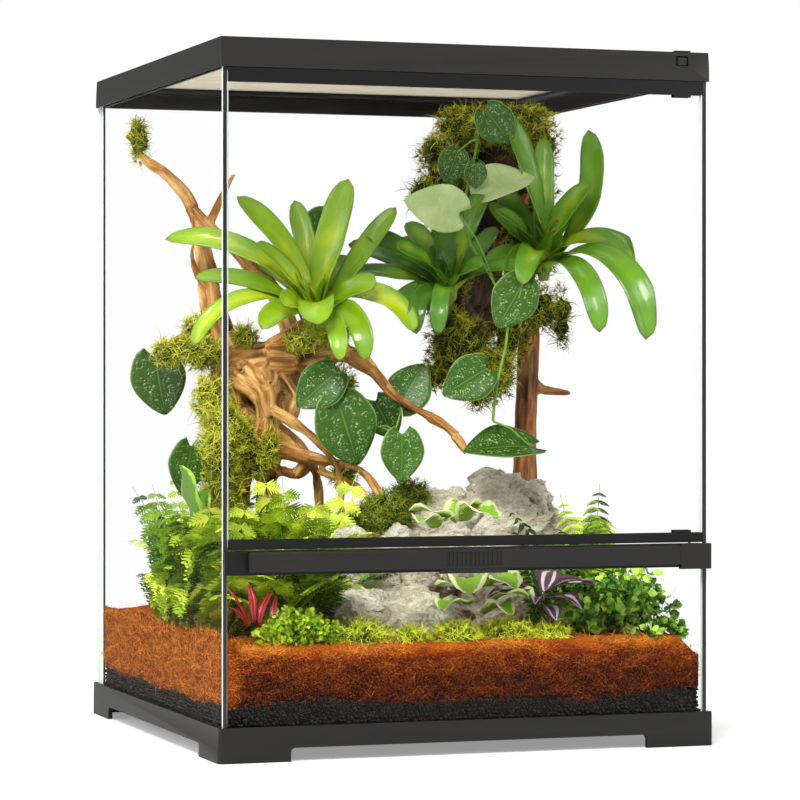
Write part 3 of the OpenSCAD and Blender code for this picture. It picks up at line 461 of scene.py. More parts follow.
@dataclass(frozen=True)
class RootWood:
    """Root wood: dark and pale streaks along each branch, with painted shade in its hollows."""

    name: str
    dark: str
    mid: str
    pale: str

    def material(self) -> bpy.types.Material:
        """Build the material."""
        p = Paint(self.name)
        along = p.own("grain", "Vector")
        spot = p.spot()
        streaks = p.noise(along, 230, 4, 0.55, 0.5)
        bands = p.noise(along, 60, 4, 0.6, 1.0)
        cloud = p.noise(spot, 22, 3)
        hollow = p.own("hollow")
        value = streaks * 0.45 + bands * 0.35 + cloud * 0.3
        colour = p.ramp(value, (0.37, tint(self.dark)), (0.51, tint(self.mid)),
                        (0.66, tint(self.pale)))
        # painted shade: hollows of the gnarled skin are darkened nearly to black
        colour = p.mix(p.steps(hollow, 0.44, 0.82) * 0.92, colour, tint(self.dark, 0.35))
        return p.done(p.surface(Base_Color=colour, Roughness=streaks * 0.2 + 0.55,
                                Specular_IOR_Level=0.25,
                                Normal=p.bump(streaks * 0.6 + bands * 0.6, 0.0012, 0.8)))


@dataclass(frozen=True)
class MossTuft:
    """Moss: each sprig's tone carries painted light, and each is darker towards its foot as painted
    shade.
    """

    name: str
    dark: str
    mid: str
    tip: str

    def material(self) -> bpy.types.Material:
        """Build the material."""
        p = Paint(self.name)
        tone = p.own("tone")
        along = p.leaf()[2]
        patch = p.noise(p.spot(), 45, 3)
        # tone carries painted light from the tufts; along darkens each sprig's foot as painted
        # shade
        value = tone * 0.4 + patch * 0.45 + along * 0.4
        colour = p.ramp(value, (0.24, tint(self.dark)), (0.5, tint(self.mid)),
                        (0.8, tint(self.tip)))
        return p.done(p.surface(Base_Color=colour, Roughness=0.6, Specular_IOR_Level=0.15))


@dataclass(frozen=True)
class StrapLeaf:
    """Waxy strap leaf: pale yellow-green heart, green edges and tip, fine long veins."""

    name: str
    heart: str
    body: str
    rim: str

    def material(self) -> bpy.types.Material:
        """Build the material."""
        p = Paint(self.name)
        uv, across, along = p.leaf()
        tone = p.own("tone")
        veins = p.noise(p.mapped(uv, (34, 1.5, 1)), 3, 2)
        cloud = p.noise(p.spot(), 30, 3)
        value = along * 0.4 + across * across * 0.22 + (cloud - 0.5) * 0.8 + tone * 0.5
        colour = p.ramp(value, (0.05, tint(self.heart)), (0.4, tint(self.body)),
                        (0.95, tint(self.rim)))
        colour = p.mix((veins - 0.5) * 0.7 + 0.08, colour, tint(self.heart))
        colour = p.mix(p.steps(along, 0.95, 1.0) * 0.45, colour, tint("7a6a34"))
        return p.done(p.surface(
            Base_Color=colour, Roughness=veins * 0.14 + 0.14, Coat_Weight=0.3,
            Specular_IOR_Level=0.38,
            Normal=p.bump(veins, 0.0007, 0.5)))


@dataclass(frozen=True)
class FleckedLeaf:
    """Green leaf with small silver flecks and a painted highlight along its rim; some are pale all
    over.
    """

    name: str
    body: str = "3f6a12"
    deep: str = "122608"
    fleck: str = "b4cc92"
    back: str = "86a456"

    def material(self) -> bpy.types.Material:
        """Build the material."""
        p = Paint(self.name)
        uv, across, _ = p.leaf()
        tone = p.own("tone")
        pale = p.own("pale")
        cloud = p.noise(p.spot(), 40, 3)
        ribs = p.noise(p.mapped(uv, (3, 26, 1)), 1, 1)
        dots = p.steps(p.noise(p.mapped(uv, (1, 1.5, 1)), 17, 4, 0.62, 0.5), 0.535, 0.6)
        some = p.steps(p.noise(p.mapped(uv, (1, 1.2, 1)), 5, 2), 0.4, 0.6)
        field = p.steps(across, 0.08, 0.2) * (1.0 - p.steps(across, 0.8, 0.97))
        colour = p.mix(tone * 0.5 + cloud * 0.6 - 0.05, tint(self.deep), tint(self.body))
        colour = p.mix(ribs * 0.45, colour, tint(self.body, 1.25))
        colour = p.mix(dots * some * field * 0.7, colour, tint(self.fleck))
        # painted highlight: a pale band along the leaf's edge
        colour = p.mix(p.steps(across, 0.94, 0.99) * 0.5, colour, tint("9dbb6e"))
        colour = p.mix((1.0 - p.steps(across, 0.01, 0.04)) * 0.28, colour, tint("8fb45c"))
        under = p.mix(ribs * 0.35 + cloud * 1.1 - 0.3, tint(self.back), tint("cdd9a4"))
        colour = p.mix(pale, colour, under)
        return p.done(p.surface(Base_Color=colour, Roughness=cloud * 0.2 + 0.26,
                                Specular_IOR_Level=0.28,
                                Normal=p.bump(ribs + cloud, 0.0009, 0.6)))


@dataclass(frozen=True)
class ThinLeaf:
    """Thin leaf of a fern or bush, with a paler vein; its tone is random in a fern and painted
    shade inside a mound.
    """

    name: str
    dark: str
    mid: str
    pale: str

    def material(self) -> bpy.types.Material:
        """Build the material."""
        p = Paint(self.name)
        vein = 1.0 - p.steps(p.leaf()[1], 0.04, 0.24)
        tone = p.own("tone")
        cloud = p.noise(p.spot(), 38, 3)
        value = tone * 0.75 + cloud * 0.9 - 0.3
        colour = p.ramp(value, (0.22, tint(self.dark)), (0.46, tint(self.mid)),
                        (0.8, tint(self.pale)))
        colour = p.mix(vein * 0.25, colour, tint(self.pale, 1.1))
        return p.done(p.surface(Base_Color=colour, Roughness=0.45, Specular_IOR_Level=0.3))


@dataclass(frozen=True)
class BandedLeaf:
    """Leaf with bands along it, or a pale border."""

    name: str
    field: str
    band: str
    border: float = 0.0

    def material(self) -> bpy.types.Material:
        """Build the material."""
        p = Paint(self.name)
        uv, across, _ = p.leaf()
        wander = p.noise(p.mapped(uv, (6, 2, 1)), 2, 3)
        if self.border:
            mask = p.steps(across + (wander - 0.5) * 1.1, self.border, self.border + 0.08)
        else:
            mask = p.steps(abs(across + (wander - 0.5) * 0.15 - 0.45), 0.12, 0.2, 1.0, 0.0)
        colour = p.mix(mask, tint(self.field), tint(self.band))
        colour = p.mix(p.noise(p.spot(), 60, 2) * 0.3, colour, tint(self.field, 0.7))
        return p.done(p.surface(Base_Color=colour, Roughness=0.38))


@dataclass(frozen=True)
class Backdrop:
    """Pale floor that keeps the shadow near the object and fades to white around it."""

    name: str = "pale_floor"

    def material(self) -> bpy.types.Material:
        """Build the material."""
        p = Paint(self.name)
        seen = p.out(p.add("ShaderNodeLightPath"), "Is Camera Ray")
        spot = p.spot()
        cloud = p.noise(spot, 3, 2)
        away = p.out(p.add("ShaderNodeVectorMath", {"operation": "LENGTH"}, {0: spot}), "Value")
        base = p.surface(Base_Color=p.mix(cloud, (0.8, 0.8, 0.8, 1), (0.82, 0.82, 0.82, 1)),
                         Roughness=0.7)
        glow = p.out(p.add("ShaderNodeEmission", None, {"Strength": 0.3}))
        near = p.out(p.add("ShaderNodeAddShader", None, {0: base, 1: glow}))
        white = p.out(p.add("ShaderNodeEmission", None, {"Strength": 1.0}))
        shown = p.out(p.add("ShaderNodeMixShader", None, {
            0: p.steps(away, 0.36, 0.75), 1: near, 2: white}))
        return p.done(p.out(p.add("ShaderNodeMixShader", None, {0: seen, 1: base, 2: shown})))


# ---------- mesh helpers ----------


def dress(piece: bpy.types.Object, finish: bpy.types.Material) -> None:
    """Give every slot of an object one finish."""
    if not piece.material_slots:
        piece.data.materials.append(finish)
    for place in piece.material_slots:
        place.material = finish


def to_piece(name: str, bm: bmesh.types.BMesh, finish: bpy.types.Material,
             body: str = "terrarium", slot: str = "", stands_for: Sequence[str] = (),
             sharp: float | None = None) -> bpy.types.Object:
    """Turn a bmesh into a finished piece that rides on a body.

    Args:
        name: The piece's name.
        bm: Its mesh, in metres; it is freed.
        finish: Its material.
        body: The body it rides on.
        slot: The record's material slot; not used.
        stands_for: CAD nodes that it replaces.
        sharp: Angle in degrees past which an edge is sharp; all are smooth if None.

    Returns:
        The object.
    """
    mesh = bpy.data.meshes.new(name)
    bm.to_mesh(mesh)
    bm.free()
    return from_mesh(name, mesh, finish, body, slot, stands_for, sharp)


def from_mesh(name: str, mesh: bpy.types.Mesh, finish: bpy.types.Material,
              body: str = "terrarium", slot: str = "", stands_for: Sequence[str] = (),
              sharp: float | None = None) -> bpy.types.Object:
    """Turn a mesh into a finished piece, as to_piece does."""
    mesh.shade_smooth()
    if sharp is not None:
        mesh.set_sharp_from_angle(angle=math.radians(sharp))
    piece = bpy.data.objects.new(name, mesh)
    bpy.context.collection.objects.link(piece)
    dress(piece, finish)
    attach(piece, body)
    if stands_for:
        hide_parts(*stands_for)
    LOG.info("%s: %d faces", name, len(mesh.polygons))
    return piece


def node_copy(node: bpy.types.Object) -> bmesh.types.BMesh:
    """Copy a CAD node's mesh and merge its loose triangles."""
    bm = bmesh.new()
    bm.from_mesh(node.data)
    bmesh.ops.remove_doubles(bm, verts=bm.verts, dist=1e-6)
    return bm


def settled(bm: bmesh.types.BMesh, voxel: float, smooth: int) -> bmesh.types.BMesh:
    """Fuse overlapping closed shapes into one even skin.

    Args:
        bm: The shapes; they are freed.
        voxel: Size of the skin's cells, in millimetres.
        smooth: Rounds of smoothing.

    Returns:
        The skin.
    """
    mesh = bpy.data.meshes.new("settling")
    bm.to_mesh(mesh)
    bm.free()
    rough = bpy.data.objects.new("settling", mesh)
    bpy.context.collection.objects.link(rough)
    remesh = rough.modifiers.new("skin", "REMESH")
    remesh.mode = "VOXEL"
    remesh.voxel_size = voxel * MM
    ready = rough.evaluated_get(bpy.context.evaluated_depsgraph_get())
    skin = bmesh.new()
    skin.from_mesh(ready.to_mesh())
    ready.to_mesh_clear()
    bpy.data.objects.remove(rough)
    bpy.data.meshes.remove(mesh)
    for _ in range(smooth):
        bmesh.ops.smooth_vert(skin, verts=skin.verts, factor=0.5, use_axis_x=True,
                              use_axis_y=True, use_axis_z=True)
    return skin


def raised(bm: bmesh.types.BMesh, moves: Sequence[float]) -> None:
    """Move each vertex along its normal and keep how hollow it came out as "hollow"."""
    bm.normal_update()
    layer = bm.verts.layers.float.new("hollow")
    low, high = min(moves), max(moves)
    for vert, move in zip(bm.verts, moves):
        vert[layer] = 1 - (move - low) / (high - low)
        vert.co += vert.normal * move
    bm.normal_update()


def tube(points: Sequence[Sequence[float]], sides: int = 10, smooth: bool = True
         ) -> bpy.types.Mesh:
    """A closed tube through points [x, y, z, radius], in millimetres.

    Args:
        points: The route.
        sides: Number of sides.
        smooth: Whether the route is rounded.

    Returns:
        The mesh, in metres.
    """
    curve = bpy.data.curves.new("tube", "CURVE")
    curve.dimensions = "3D"
    curve.bevel_depth = 1.0
    curve.bevel_resolution = max(0, sides // 4 - 1)
    curve.use_fill_caps = True
    curve.resolution_u = 5
    line = curve.splines.new("NURBS" if smooth and len(points) > 3 else "POLY")
    line.points.add(len(points) - 1)
    for target, source in zip(line.points, points):
        target.co = (source[0] * MM, source[1] * MM, source[2] * MM, 1)
        target.radius = source[3] * MM
    if line.type == "NURBS":
        line.use_endpoint_u = True
        line.order_u = 3
    holder = bpy.data.objects.new("tube", curve)
    mesh = bpy.data.meshes.new_from_object(holder)
    bpy.data.objects.remove(holder)
    bpy.data.curves.remove(curve)
    return mesh


def joined(meshes: Sequence[bpy.types.Mesh]) -> bmesh.types.BMesh:
    """Put meshes together and drop them."""
    bm = bmesh.new()
    for mesh in meshes:
        bm.from_mesh(mesh)
        bpy.data.meshes.remove(mesh)
    return bm


class Stamp:
    """A small shape, ready to be repeated."""

    def __init__(self, bm: bmesh.types.BMesh) -> None:
        """Keep the shape's arrays and free it."""
        layer = bm.loops.layers.uv.get("leaf")
        bm.verts.index_update()
        self.co = np.array([tuple(v.co) for v in bm.verts])
        self.corners = np.array([loop.vert.index for f in bm.faces for loop in f.loops])
        self.sizes = np.array([len(f.verts) for f in bm.faces])
        uv = [tuple(loop[layer].uv) if layer else (0.5, 0.5) for f in bm.faces for loop in f.loops]
        self.uv = np.array(uv)
        bm.free()


class Scatter:
    """Many placed stamps, joined in one mesh."""

    def __init__(self, limit: float | None = None) -> None:
        """Start empty; past the limit, in millimetres from the middle, stamps are moved back."""
        self.limit = limit
        self.co: list[np.ndarray] = []
        self.corners: list[np.ndarray] = []
        self.sizes: list[np.ndarray] = []
        self.uv: list[np.ndarray] = []
        self.tone: list[np.ndarray] = []
        self.count = 0

    def add(self, stamp: Stamp, place: Matrix, tone: float) -> None:
        """Place one stamp.

        Args:
            stamp: The shape, in millimetres.
            place: Where it goes, in millimetres.
            tone: Its own tone, 0 to 1.
        """
        m = np.array(place)
        co = stamp.co @ m[:3, :3].T + m[:3, 3]
        if self.limit is not None:
            flat = co[:, :2]
            flat -= (np.maximum(flat.max(axis=0) - self.limit, 0)
                     + np.minimum(flat.min(axis=0) + self.limit, 0))
        self.co.append(co * MM)
        self.corners.append(stamp.corners + self.count)
        self.sizes.append(stamp.sizes)
        self.uv.append(stamp.uv)
        self.tone.append(np.full(len(stamp.co), tone))
        self.count += len(stamp.co)

    def mesh(self, name: str) -> bpy.types.Mesh:
        """Join what was placed."""
        mesh = bpy.data.meshes.new(name)
        sizes = np.concatenate(self.sizes)
        corners = np.concatenate(self.corners)
        mesh.vertices.add(self.count)
        mesh.vertices.foreach_set("co", np.concatenate(self.co).ravel())
        mesh.loops.add(len(corners))
        mesh.loops.foreach_set("vertex_index", corners)
        mesh.polygons.add(len(sizes))
        mesh.polygons.foreach_set("loop_start", np.concatenate([[0], np.cumsum(sizes)[:-1]]))
        mesh.update(calc_edges=True)
        mesh.uv_layers.new(name="leaf").uv.foreach_set("vector", np.concatenate(self.uv).ravel())
        tone = mesh.attributes.new("tone", "FLOAT", "POINT")
        tone.data.foreach_set("value", np.concatenate(self.tone))
        mesh.validate()
        return mesh


def facing(spot: Sequence[float], way: Sequence[float], size: float, spin: float) -> Matrix:
    """Placement that turns +Z to a direction.

    Args:
        spot: Where it goes, in millimetres.
        way: The direction of its +Z.
        size: Its scale.
        spin: Turn about its +Z, in radians.

    Returns:
        The matrix.
    """
    turn = Vector(way).to_track_quat("Z", "Y").to_matrix().to_4x4()
    return (Matrix.Translation(spot) @ turn @ Matrix.Rotation(spin, 4, "Z")
            @ Matrix.Scale(size, 4))


def sheet(across: int, along: int, shape: Callable[[float, float], Point]
          ) -> bmesh.types.BMesh:
    """A grid bent into a leaf.

    Args:
        across: Cells across it.
        along: Cells along it.
        shape: From across, -1 to 1, and along, 0 to 1, to a point.

    Returns:
        The mesh, with its UV map "leaf".
    """
    bm = bmesh.new()
    layer = bm.loops.layers.uv.new("leaf")
    bmesh.ops.create_grid(bm, x_segments=across, y_segments=along, size=1.0)
    for face in bm.faces:
        for loop in face.loops:
            loop[layer].uv = ((loop.vert.co.x + 1) / 2, (loop.vert.co.y + 1) / 2)
    for vert in bm.verts:
        vert.co = shape(vert.co.x, (vert.co.y + 1) / 2)
    return bm


def strand(length: float, width: float, bend: float, cells: int = 3) -> Stamp:
    """A thin bent fibre along +Z that narrows to its tip."""
    def shape(u: float, v: float) -> Point:
        angle = bend * v
        return (u * width / 2 * (1 - 0.75 * v), length * v * math.sin(angle),
                length * v * math.cos(angle))
    return Stamp(sheet(1, cells, shape))


def sprig(seed: int, blades: int, length: float, width: float, spread: float) -> Stamp:
    """A star of short bent blades, as a moss shoot has."""
    rng = random.Random(seed)
    parts = []
    for i in range(blades):
        turn = i * 2.4 + rng.uniform(-0.3, 0.3)
        lean = spread * rng.uniform(0.3, 1.0)
        long = length * rng.uniform(0.6, 1.1)
        blade = sheet(1, 2, lambda u, v, s=lean, r=long: (
            u * width / 2 * (1 - 0.8 * v), r * v * math.sin(s * (0.5 + 0.7 * v)),
            r * v * math.cos(s * (0.5 + 0.7 * v))))
        blade.transform(Matrix.Rotation(turn, 4, "Z"))
        parts.append(blade)
    return gathered(parts)


def arched(length: float, start: float, bend: float, v: float) -> Point:
    """How far out, how high and how steep an arching leaf is at a share of its length."""
    pitch = start + bend * v
    return (length * (math.sin(pitch) - math.sin(start)) / bend,
            -length * (math.cos(pitch) - math.cos(start)) / bend, pitch)


def thicken(piece: bpy.types.Object, thickness: float) -> None:
    """Give a sheet a thickness, in millimetres, to both sides."""
    solid = piece.modifiers.new("thickness", "SOLIDIFY")
    solid.thickness = thickness * MM
    solid.offset = 0


def on_ball(rng: random.Random) -> Vector:
    """A random direction."""
    z = rng.uniform(-1, 1)
    a = rng.uniform(0, math.tau)
    c = math.sqrt(1 - z * z)
    return Vector((c * math.cos(a), c * math.sin(a), z))


# ---------- what stands in the box: routes and tables, as in the CAD ----------

LEFT_ROUTES = {
    "trunk": [(-202, 150, 541, 4), (-192, 140, 528, 5), (-182, 130, 522, 6), (-168, 120, 506, 6),
              (-158, 110, 488, 7), (-154, 100, 460, 8), (-149, 95, 428, 9), (-143, 88, 390, 12),
              (-132, 78, 345, 21), (-126, 72, 300, 22), (-124, 72, 262, 20), (-130, 78, 220, 17),
              (-136, 80, 160, 15), (-140, 84, 96, 18)],
    "arm": [(-126, 72, 335, 21), (-100, 45, 344, 21), (-77, 30, 344, 19), (-50, 18, 350, 14),
            (-34, 10, 350, 10), (-16, 0, 333, 7), (-6, -10, 318, 6), (8, -15, 304, 5),
            (34, -20, 291, 5), (57, -25, 274, 5), (68, -30, 256, 4)],
    "leg": [(-100, 45, 340, 19), (-100, 50, 300, 15), (-102, 52, 262, 13), (-100, 56, 200, 10),
            (-98, 62, 96, 12)],
    "roots": [(-102, 52, 262, 9), (-70, 22, 252, 6), (-42, 4, 246, 5), (-21, -6, 238, 4),
              (-12, -14, 216, 4)],
    "prop": [(-70, 22, 252, 5), (-52, 58, 239, 5), (-47, 62, 200, 4), (-46, 68, 96, 5)],
    "spur": [(-158, 104, 484, 5), (-138, 78, 455, 6), (-110, 56, 424, 7), (-88, 40, 392, 8),
             (-82, 34, 356, 10)],
    "twig": [(-152, 98, 456, 5), (-145, 86, 479, 4), (-136, 82, 502, 3), (-127, 80, 518, 2)],
}
RIGHT_TRUNK = [(132, 74, 572, 24), (122, 72, 520, 38), (108, 66, 455, 40), (98, 64, 395, 34),
               (90, 62, 345, 22)]
RIGHT_POST = [(150, 72, 470, 16), (162, 68, 420, 12), (165, 66, 353, 11), (164, 66, 305, 11),
              (162, 68, 250, 12), (160, 72, 160, 13), (158, 76, 96, 16)]
RIGHT_STUBS = [[(165, 66, 324, 6), (180, 62, 314, 5), (204, 54, 311, 3)],
               [(80, 60, 452, 9), (44, 60, 458, 5), (24, 58, 455, 4)]]
LEFT_TUFTS = [(-202, 150, 552, 9, 22), (-160, 70, 350, 20, 16), (-148, 60, 300, 17, 30),
              (-152, 66, 250, 16, 34), (-118, 48, 250, 15, 20), (-60, 14, 372, 14, 9),
              (-158, 90, 372, 16, 12), (-146, 70, 200, 16, 26), (-40, 14, 236, 12, 10)]
RIGHT_TUFTS = [(96, 50, 566, 34, 22), (140, 46, 572, 40, 24), (168, 66, 552, 28, 34),
               (78, 52, 520, 30, 40), (160, 56, 500, 30, 42), (74, 44, 440, 30, 50),
               (142, 40, 440, 32, 46), (84, 36, 350, 34, 40), (110, 40, 330, 30, 30),
               (140, 52, 372, 22, 34), (196, 60, 384, 9, 34)]
LEFT_MORE = [(-178, 60, 352, 14, 12), (-196, 70, 350, 10, 12), (-162, 40, 306, 16, 22),
             (-150, 30, 282, 18, 24), (-156, 20, 258, 18, 24), (-150, 34, 226, 18, 26),
             (-130, 40, 272, 12, 20), (-108, 30, 262, 10, 18), (-86, -4, 360, 16, 8),
             (-52, 2, 366, 14, 10), (-40, 22, 322, 12, 16),
             (-124, 50, 366, 12, 8), (-140, 40, 190, 18, 26), (-150, 30, 150, 20, 30)]
RIGHT_MORE = [(60, 30, 540, 20, 16), (46, 40, 500, 12, 16), (50, 30, 404, 16, 18),
              (66, 14, 380, 18, 14), (100, 20, 560, 16, 14), (130, 22, 556, 16, 14),
              (176, 50, 450, 12, 26), (170, 44, 392, 14, 22), (120, 26, 330, 14, 22),
              (100, 30, 312, 12, 18), (60, 34, 330, 14, 16)]
GROUND_TUFTS = [(-85, -178, 96, 30, 20), (-45, -186, 96, 22, 12), (0, -182, 96, 26, 16),
                (52, -172, 96, 30, 16), (88, -180, 96, 22, 10), (-120, -20, 96, 34, 22),
                (20, 66, 96, 30, 18), (100, 110, 96, 40, 22), (-40, 140, 96, 44, 24),
                (190, -90, 96, 14, 12)]
RIDGE_TUFTS = [(-30, -14, 190, 24, 20), (-4, -10, 203, 24, 20), (20, -6, 215, 18, 16)]
BLADES = {
    "left": ((-68, 5, 369), 9, [
        (2, 86, 68, 146, 23), (158, 82, 36, 150, 18), (150, 72, -10, 182, 17),
        (173, 56, -10, 130, 16), (183, 58, -72, 150, 16), (-108, 61, -55, 100, 28),
        (-9, 64, 50, 138, 17), (-33, 73, -74, 124, 20), (-72, 57, -95, 115, 17),
        (-91, 49, -90, 104, 15), (209, 57, -55, 87, 18), (106, 84, 60, 130, 17)]),
    "right": ((150, -12, 425), 10, [
        (180, 85, 66, 154, 25), (80, 88, 70, 132, 17), (-12, 40, 104, 150, 20),
        (-38, 65, -70, 128, 19), (-60, 40, -95, 178, 22), (-80, 30, -92, 136, 18),
        (220, 60, -100, 104, 16), (-125, 58, -78, 100, 18), (165, 65, 38, 84, 16),
        (200, 50, -40, 78, 14)]),
    "centre": ((57, -7, 398), 8, [
        (8, 80, 56, 126, 16), (-20, 65, 48, 82, 16), (132, 58, 25, 78, 16),
        (152, 50, 8, 112, 18), (170, 40, -10, 100, 16), (190, 45, -60, 66, 14),
        (216, 46, -105, 88, 14), (-118, 50, -110, 90, 14), (100, 82, 78, 92, 16),
        (-48, 55, -15, 90, 14)]),
}
RIGHT_STEM = [(96, 20, 568), (84, -16, 548), (70, -24, 510), (62, -26, 462), (86, -46, 420),
              (100, -60, 376), (84, -58, 316), (82, -58, 286)]
RIGHT_LEAVES = [(88, -24, 575, 38, -50, 10), (62, -16, 536, 30, -110, 10),
                (74, -34, 524, 22, -90, 10), (82, -36, 496, 52, 32, -50),
                (56, -38, 478, 46, 165, -20), (108, -68, 414, 46, -120, 10),
                (72, -66, 334, 44, -150, 10), (118, -62, 262, 62, 177, 52)]
LEFT_STEM = [(-58, 12, 350), (-50, -16, 324), (-38, -20, 296), (-20, -24, 280), (-6, -36, 276)]
LEFT_LEAVES = [(-58, -26, 304, 60, -70, 0), (-60, -24, 330, 44, -140, 10),
               (-15, -6, 304, 38, -60, 10), (-2, -44, 274, 42, -90, 0),
               (10, -5, 300, 44, 60, -20)]
REAR_STEM = [(-142, 74, 336), (-172, 108, 344), (-194, 114, 350)]
REAR_LEAVES = [(-196, 108, 346, 54, -80, 0), (-176, 50, 262, 42, -100, 0),
               (-62, 60, 460, 46, 20, 0), (-92, 60, 446, 40, -50, 10)]


# ---------- the shell ----------


@dataclass
class Shell:
    """Base, panes, trims, top frame, bars and door: eased copies of the moulded nodes."""

    frame: dict
    ease: float = 0.7
    seal_foot: float = 26.5

    def eased(self, node: str, width: float, finish: bpy.types.Material, body: str,
              slot: str) -> bpy.types.Object:
        """Replace a moulded node by a copy with its edges rounded.

        Args:
            node: The CAD node.
            width: Width of the rounding, in millimetres.
            finish: Its material.
            body: The body it rides on.
            slot: The record's slot; not used.

        Returns:
            The piece.
        """
        bm = node_copy(self.frame["nodes"][node])
        bmesh.ops.dissolve_limit(bm, angle_limit=math.radians(0.5), verts=bm.verts,
                                 edges=bm.edges, use_dissolve_boundaries=False)
        hard = [e for e in bm.edges if len(e.link_faces) == 2
                and e.calc_face_angle(0) > math.radians(32)]
        bmesh.ops.bevel(bm, geom=hard, offset=width * MM, offset_type="OFFSET", segments=2,
                        profile=0.5, affect="EDGES", clamp_overlap=True, material=-1)
        return to_piece(node + "_moulding", bm, finish, body, slot, [node], 15)

    def build(self) -> None:
        """Dress every node of the shell."""
        frame_black = MouldedPlastic("frame_black", "1c1b1a", 0.4).material()
        bar_black = MouldedPlastic("bar_black", "0c0b0b", 0.34).material()
        for node in ("base_frame", "top_frame"):
            self.eased(node, self.ease, frame_black, "terrarium", "frame_plastic")
        self.eased("bar_hinge_block", 0.5, frame_black, "terrarium", "frame_plastic")
        self.eased("latch_lever", 0.5, frame_black, "latch", "frame_plastic")
        self.eased("cover_lock", 0.3, frame_black, "lock", "frame_plastic")
        self.eased("front_bar", 0.5, bar_black, "terrarium", "bar_plastic")
        for node in ("door_top_rail", "door_bottom_rail"):
            self.eased(node, 0.5, bar_black, "door", "bar_plastic")
        self.eased("cover_frame", 0.6, bar_black, "cover", "bar_plastic")
        self.eased("door_stop", 0.5, bar_black, "terrarium", "bar_plastic")
        self.eased("inlet_slider_left", 0.3, bar_black, "left_slider", "bar_plastic")
        self.eased("inlet_slider_right", 0.3, bar_black, "right_slider", "bar_plastic")
        for node in ("lower_hinge_clip", "upper_hinge_clip"):
            dress(self.frame["nodes"][node], bar_black)
        steel = Steel("turned_steel", "b9bcc0").material()
        for node in ("lever_pin_left", "lever_pin_right", "lower_hinge_pin", "upper_hinge_pin"):
            dress(self.frame["nodes"][node], steel)
        self.panes()

    def panes(self) -> None:
        """Dress the panes, the seals and the trims."""
        side = ClearGlass("side_pane", "X", PaneEdge.LIGHT).material()
        front = ClearGlass("front_pane", "Y", PaneEdge.LIGHT).material()
        floor = ClearGlass("floor_pane", "Z", PaneEdge.DARK).material()
        back = ClearGlass("back_pane", "Y", PaneEdge.LIGHT).material()
        for node, finish in (("left_glass", side), ("right_glass", side), ("back_glass", back),
                             ("front_lower_glass", front), ("door_glass", front),
                             ("floor_glass", floor)):
            dress(self.frame["nodes"][node], finish)
        rubber = BlackRubber("black_silicone").material()
        # the edge trim gets a painted highlight along its outer edge, past x = 222.4 mm
        trim = BlackRubber("edge_trim", 222.4).material()
        for node, side in (("rear_left_seal", -1), ("rear_right_seal", 1)):
            bm = node_copy(self.frame["nodes"][node])
            low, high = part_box(node)
            corner = Vector(((low if side < 0 else high)[0], high[1], 0))
            bmesh.ops.translate(bm, verts=bm.verts, vec=-corner)
            bmesh.ops.scale(bm, verts=bm.verts, vec=(0.45, 0.45, 1))
            bmesh.ops.translate(bm, verts=bm.verts, vec=corner)
            for vert in bm.verts:
                if vert.co.z < 0.3:
                    vert.co.z = self.seal_foot * MM
            to_piece(node + "_bead", bm, rubber, "terrarium", "black_seal", [node], 30)
        for node in ("left_edge_trim", "right_edge_trim"):
            dress(self.frame["nodes"][node], trim)


@dataclass
class MeshCover:
    """The fine wire mesh of the cover."""

    frame: dict
    pitch: float = 2.6
    wire: float = 0.9

    def build(self) -> None:
        """Lay the wires both ways, one set over the other."""
        low, high = (Vector(corner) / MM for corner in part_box("cover_mesh"))
        middle, span = (low + high) / 2, high - low
        rng = random.Random(5)
        field = Scatter()
        for axis, length, turn, lift in ((0, span.y, 0.0, -0.28), (1, span.x, math.pi / 2, 0.28)):
            bm = bmesh.new()
            bmesh.ops.create_cube(bm, size=1.0,
                                  matrix=Matrix.Diagonal((self.wire, length, 0.5, 1)))
            bmesh.ops.bevel(bm, geom=list(bm.edges), offset=0.12, offset_type="OFFSET",
                            segments=1, profile=0.5, affect="EDGES", material=-1)
            stamp = Stamp(bm)
            count = int(span[axis] / self.pitch)
            for i in range(count + 1):
                spot = middle + Vector((0, 0, lift))
                spot[axis] += (i / count - 0.5) * (span[axis] - self.wire)
                field.add(stamp, Matrix.Translation(spot) @ Matrix.Rotation(turn, 4, "Z"),
                          rng.random())
        from_mesh("cover_wires", field.mesh("cover_wires"), MeshCloth().material(), "cover",
                  "mesh", ["cover_mesh"], 30)


# ---------- beads and soil ----------


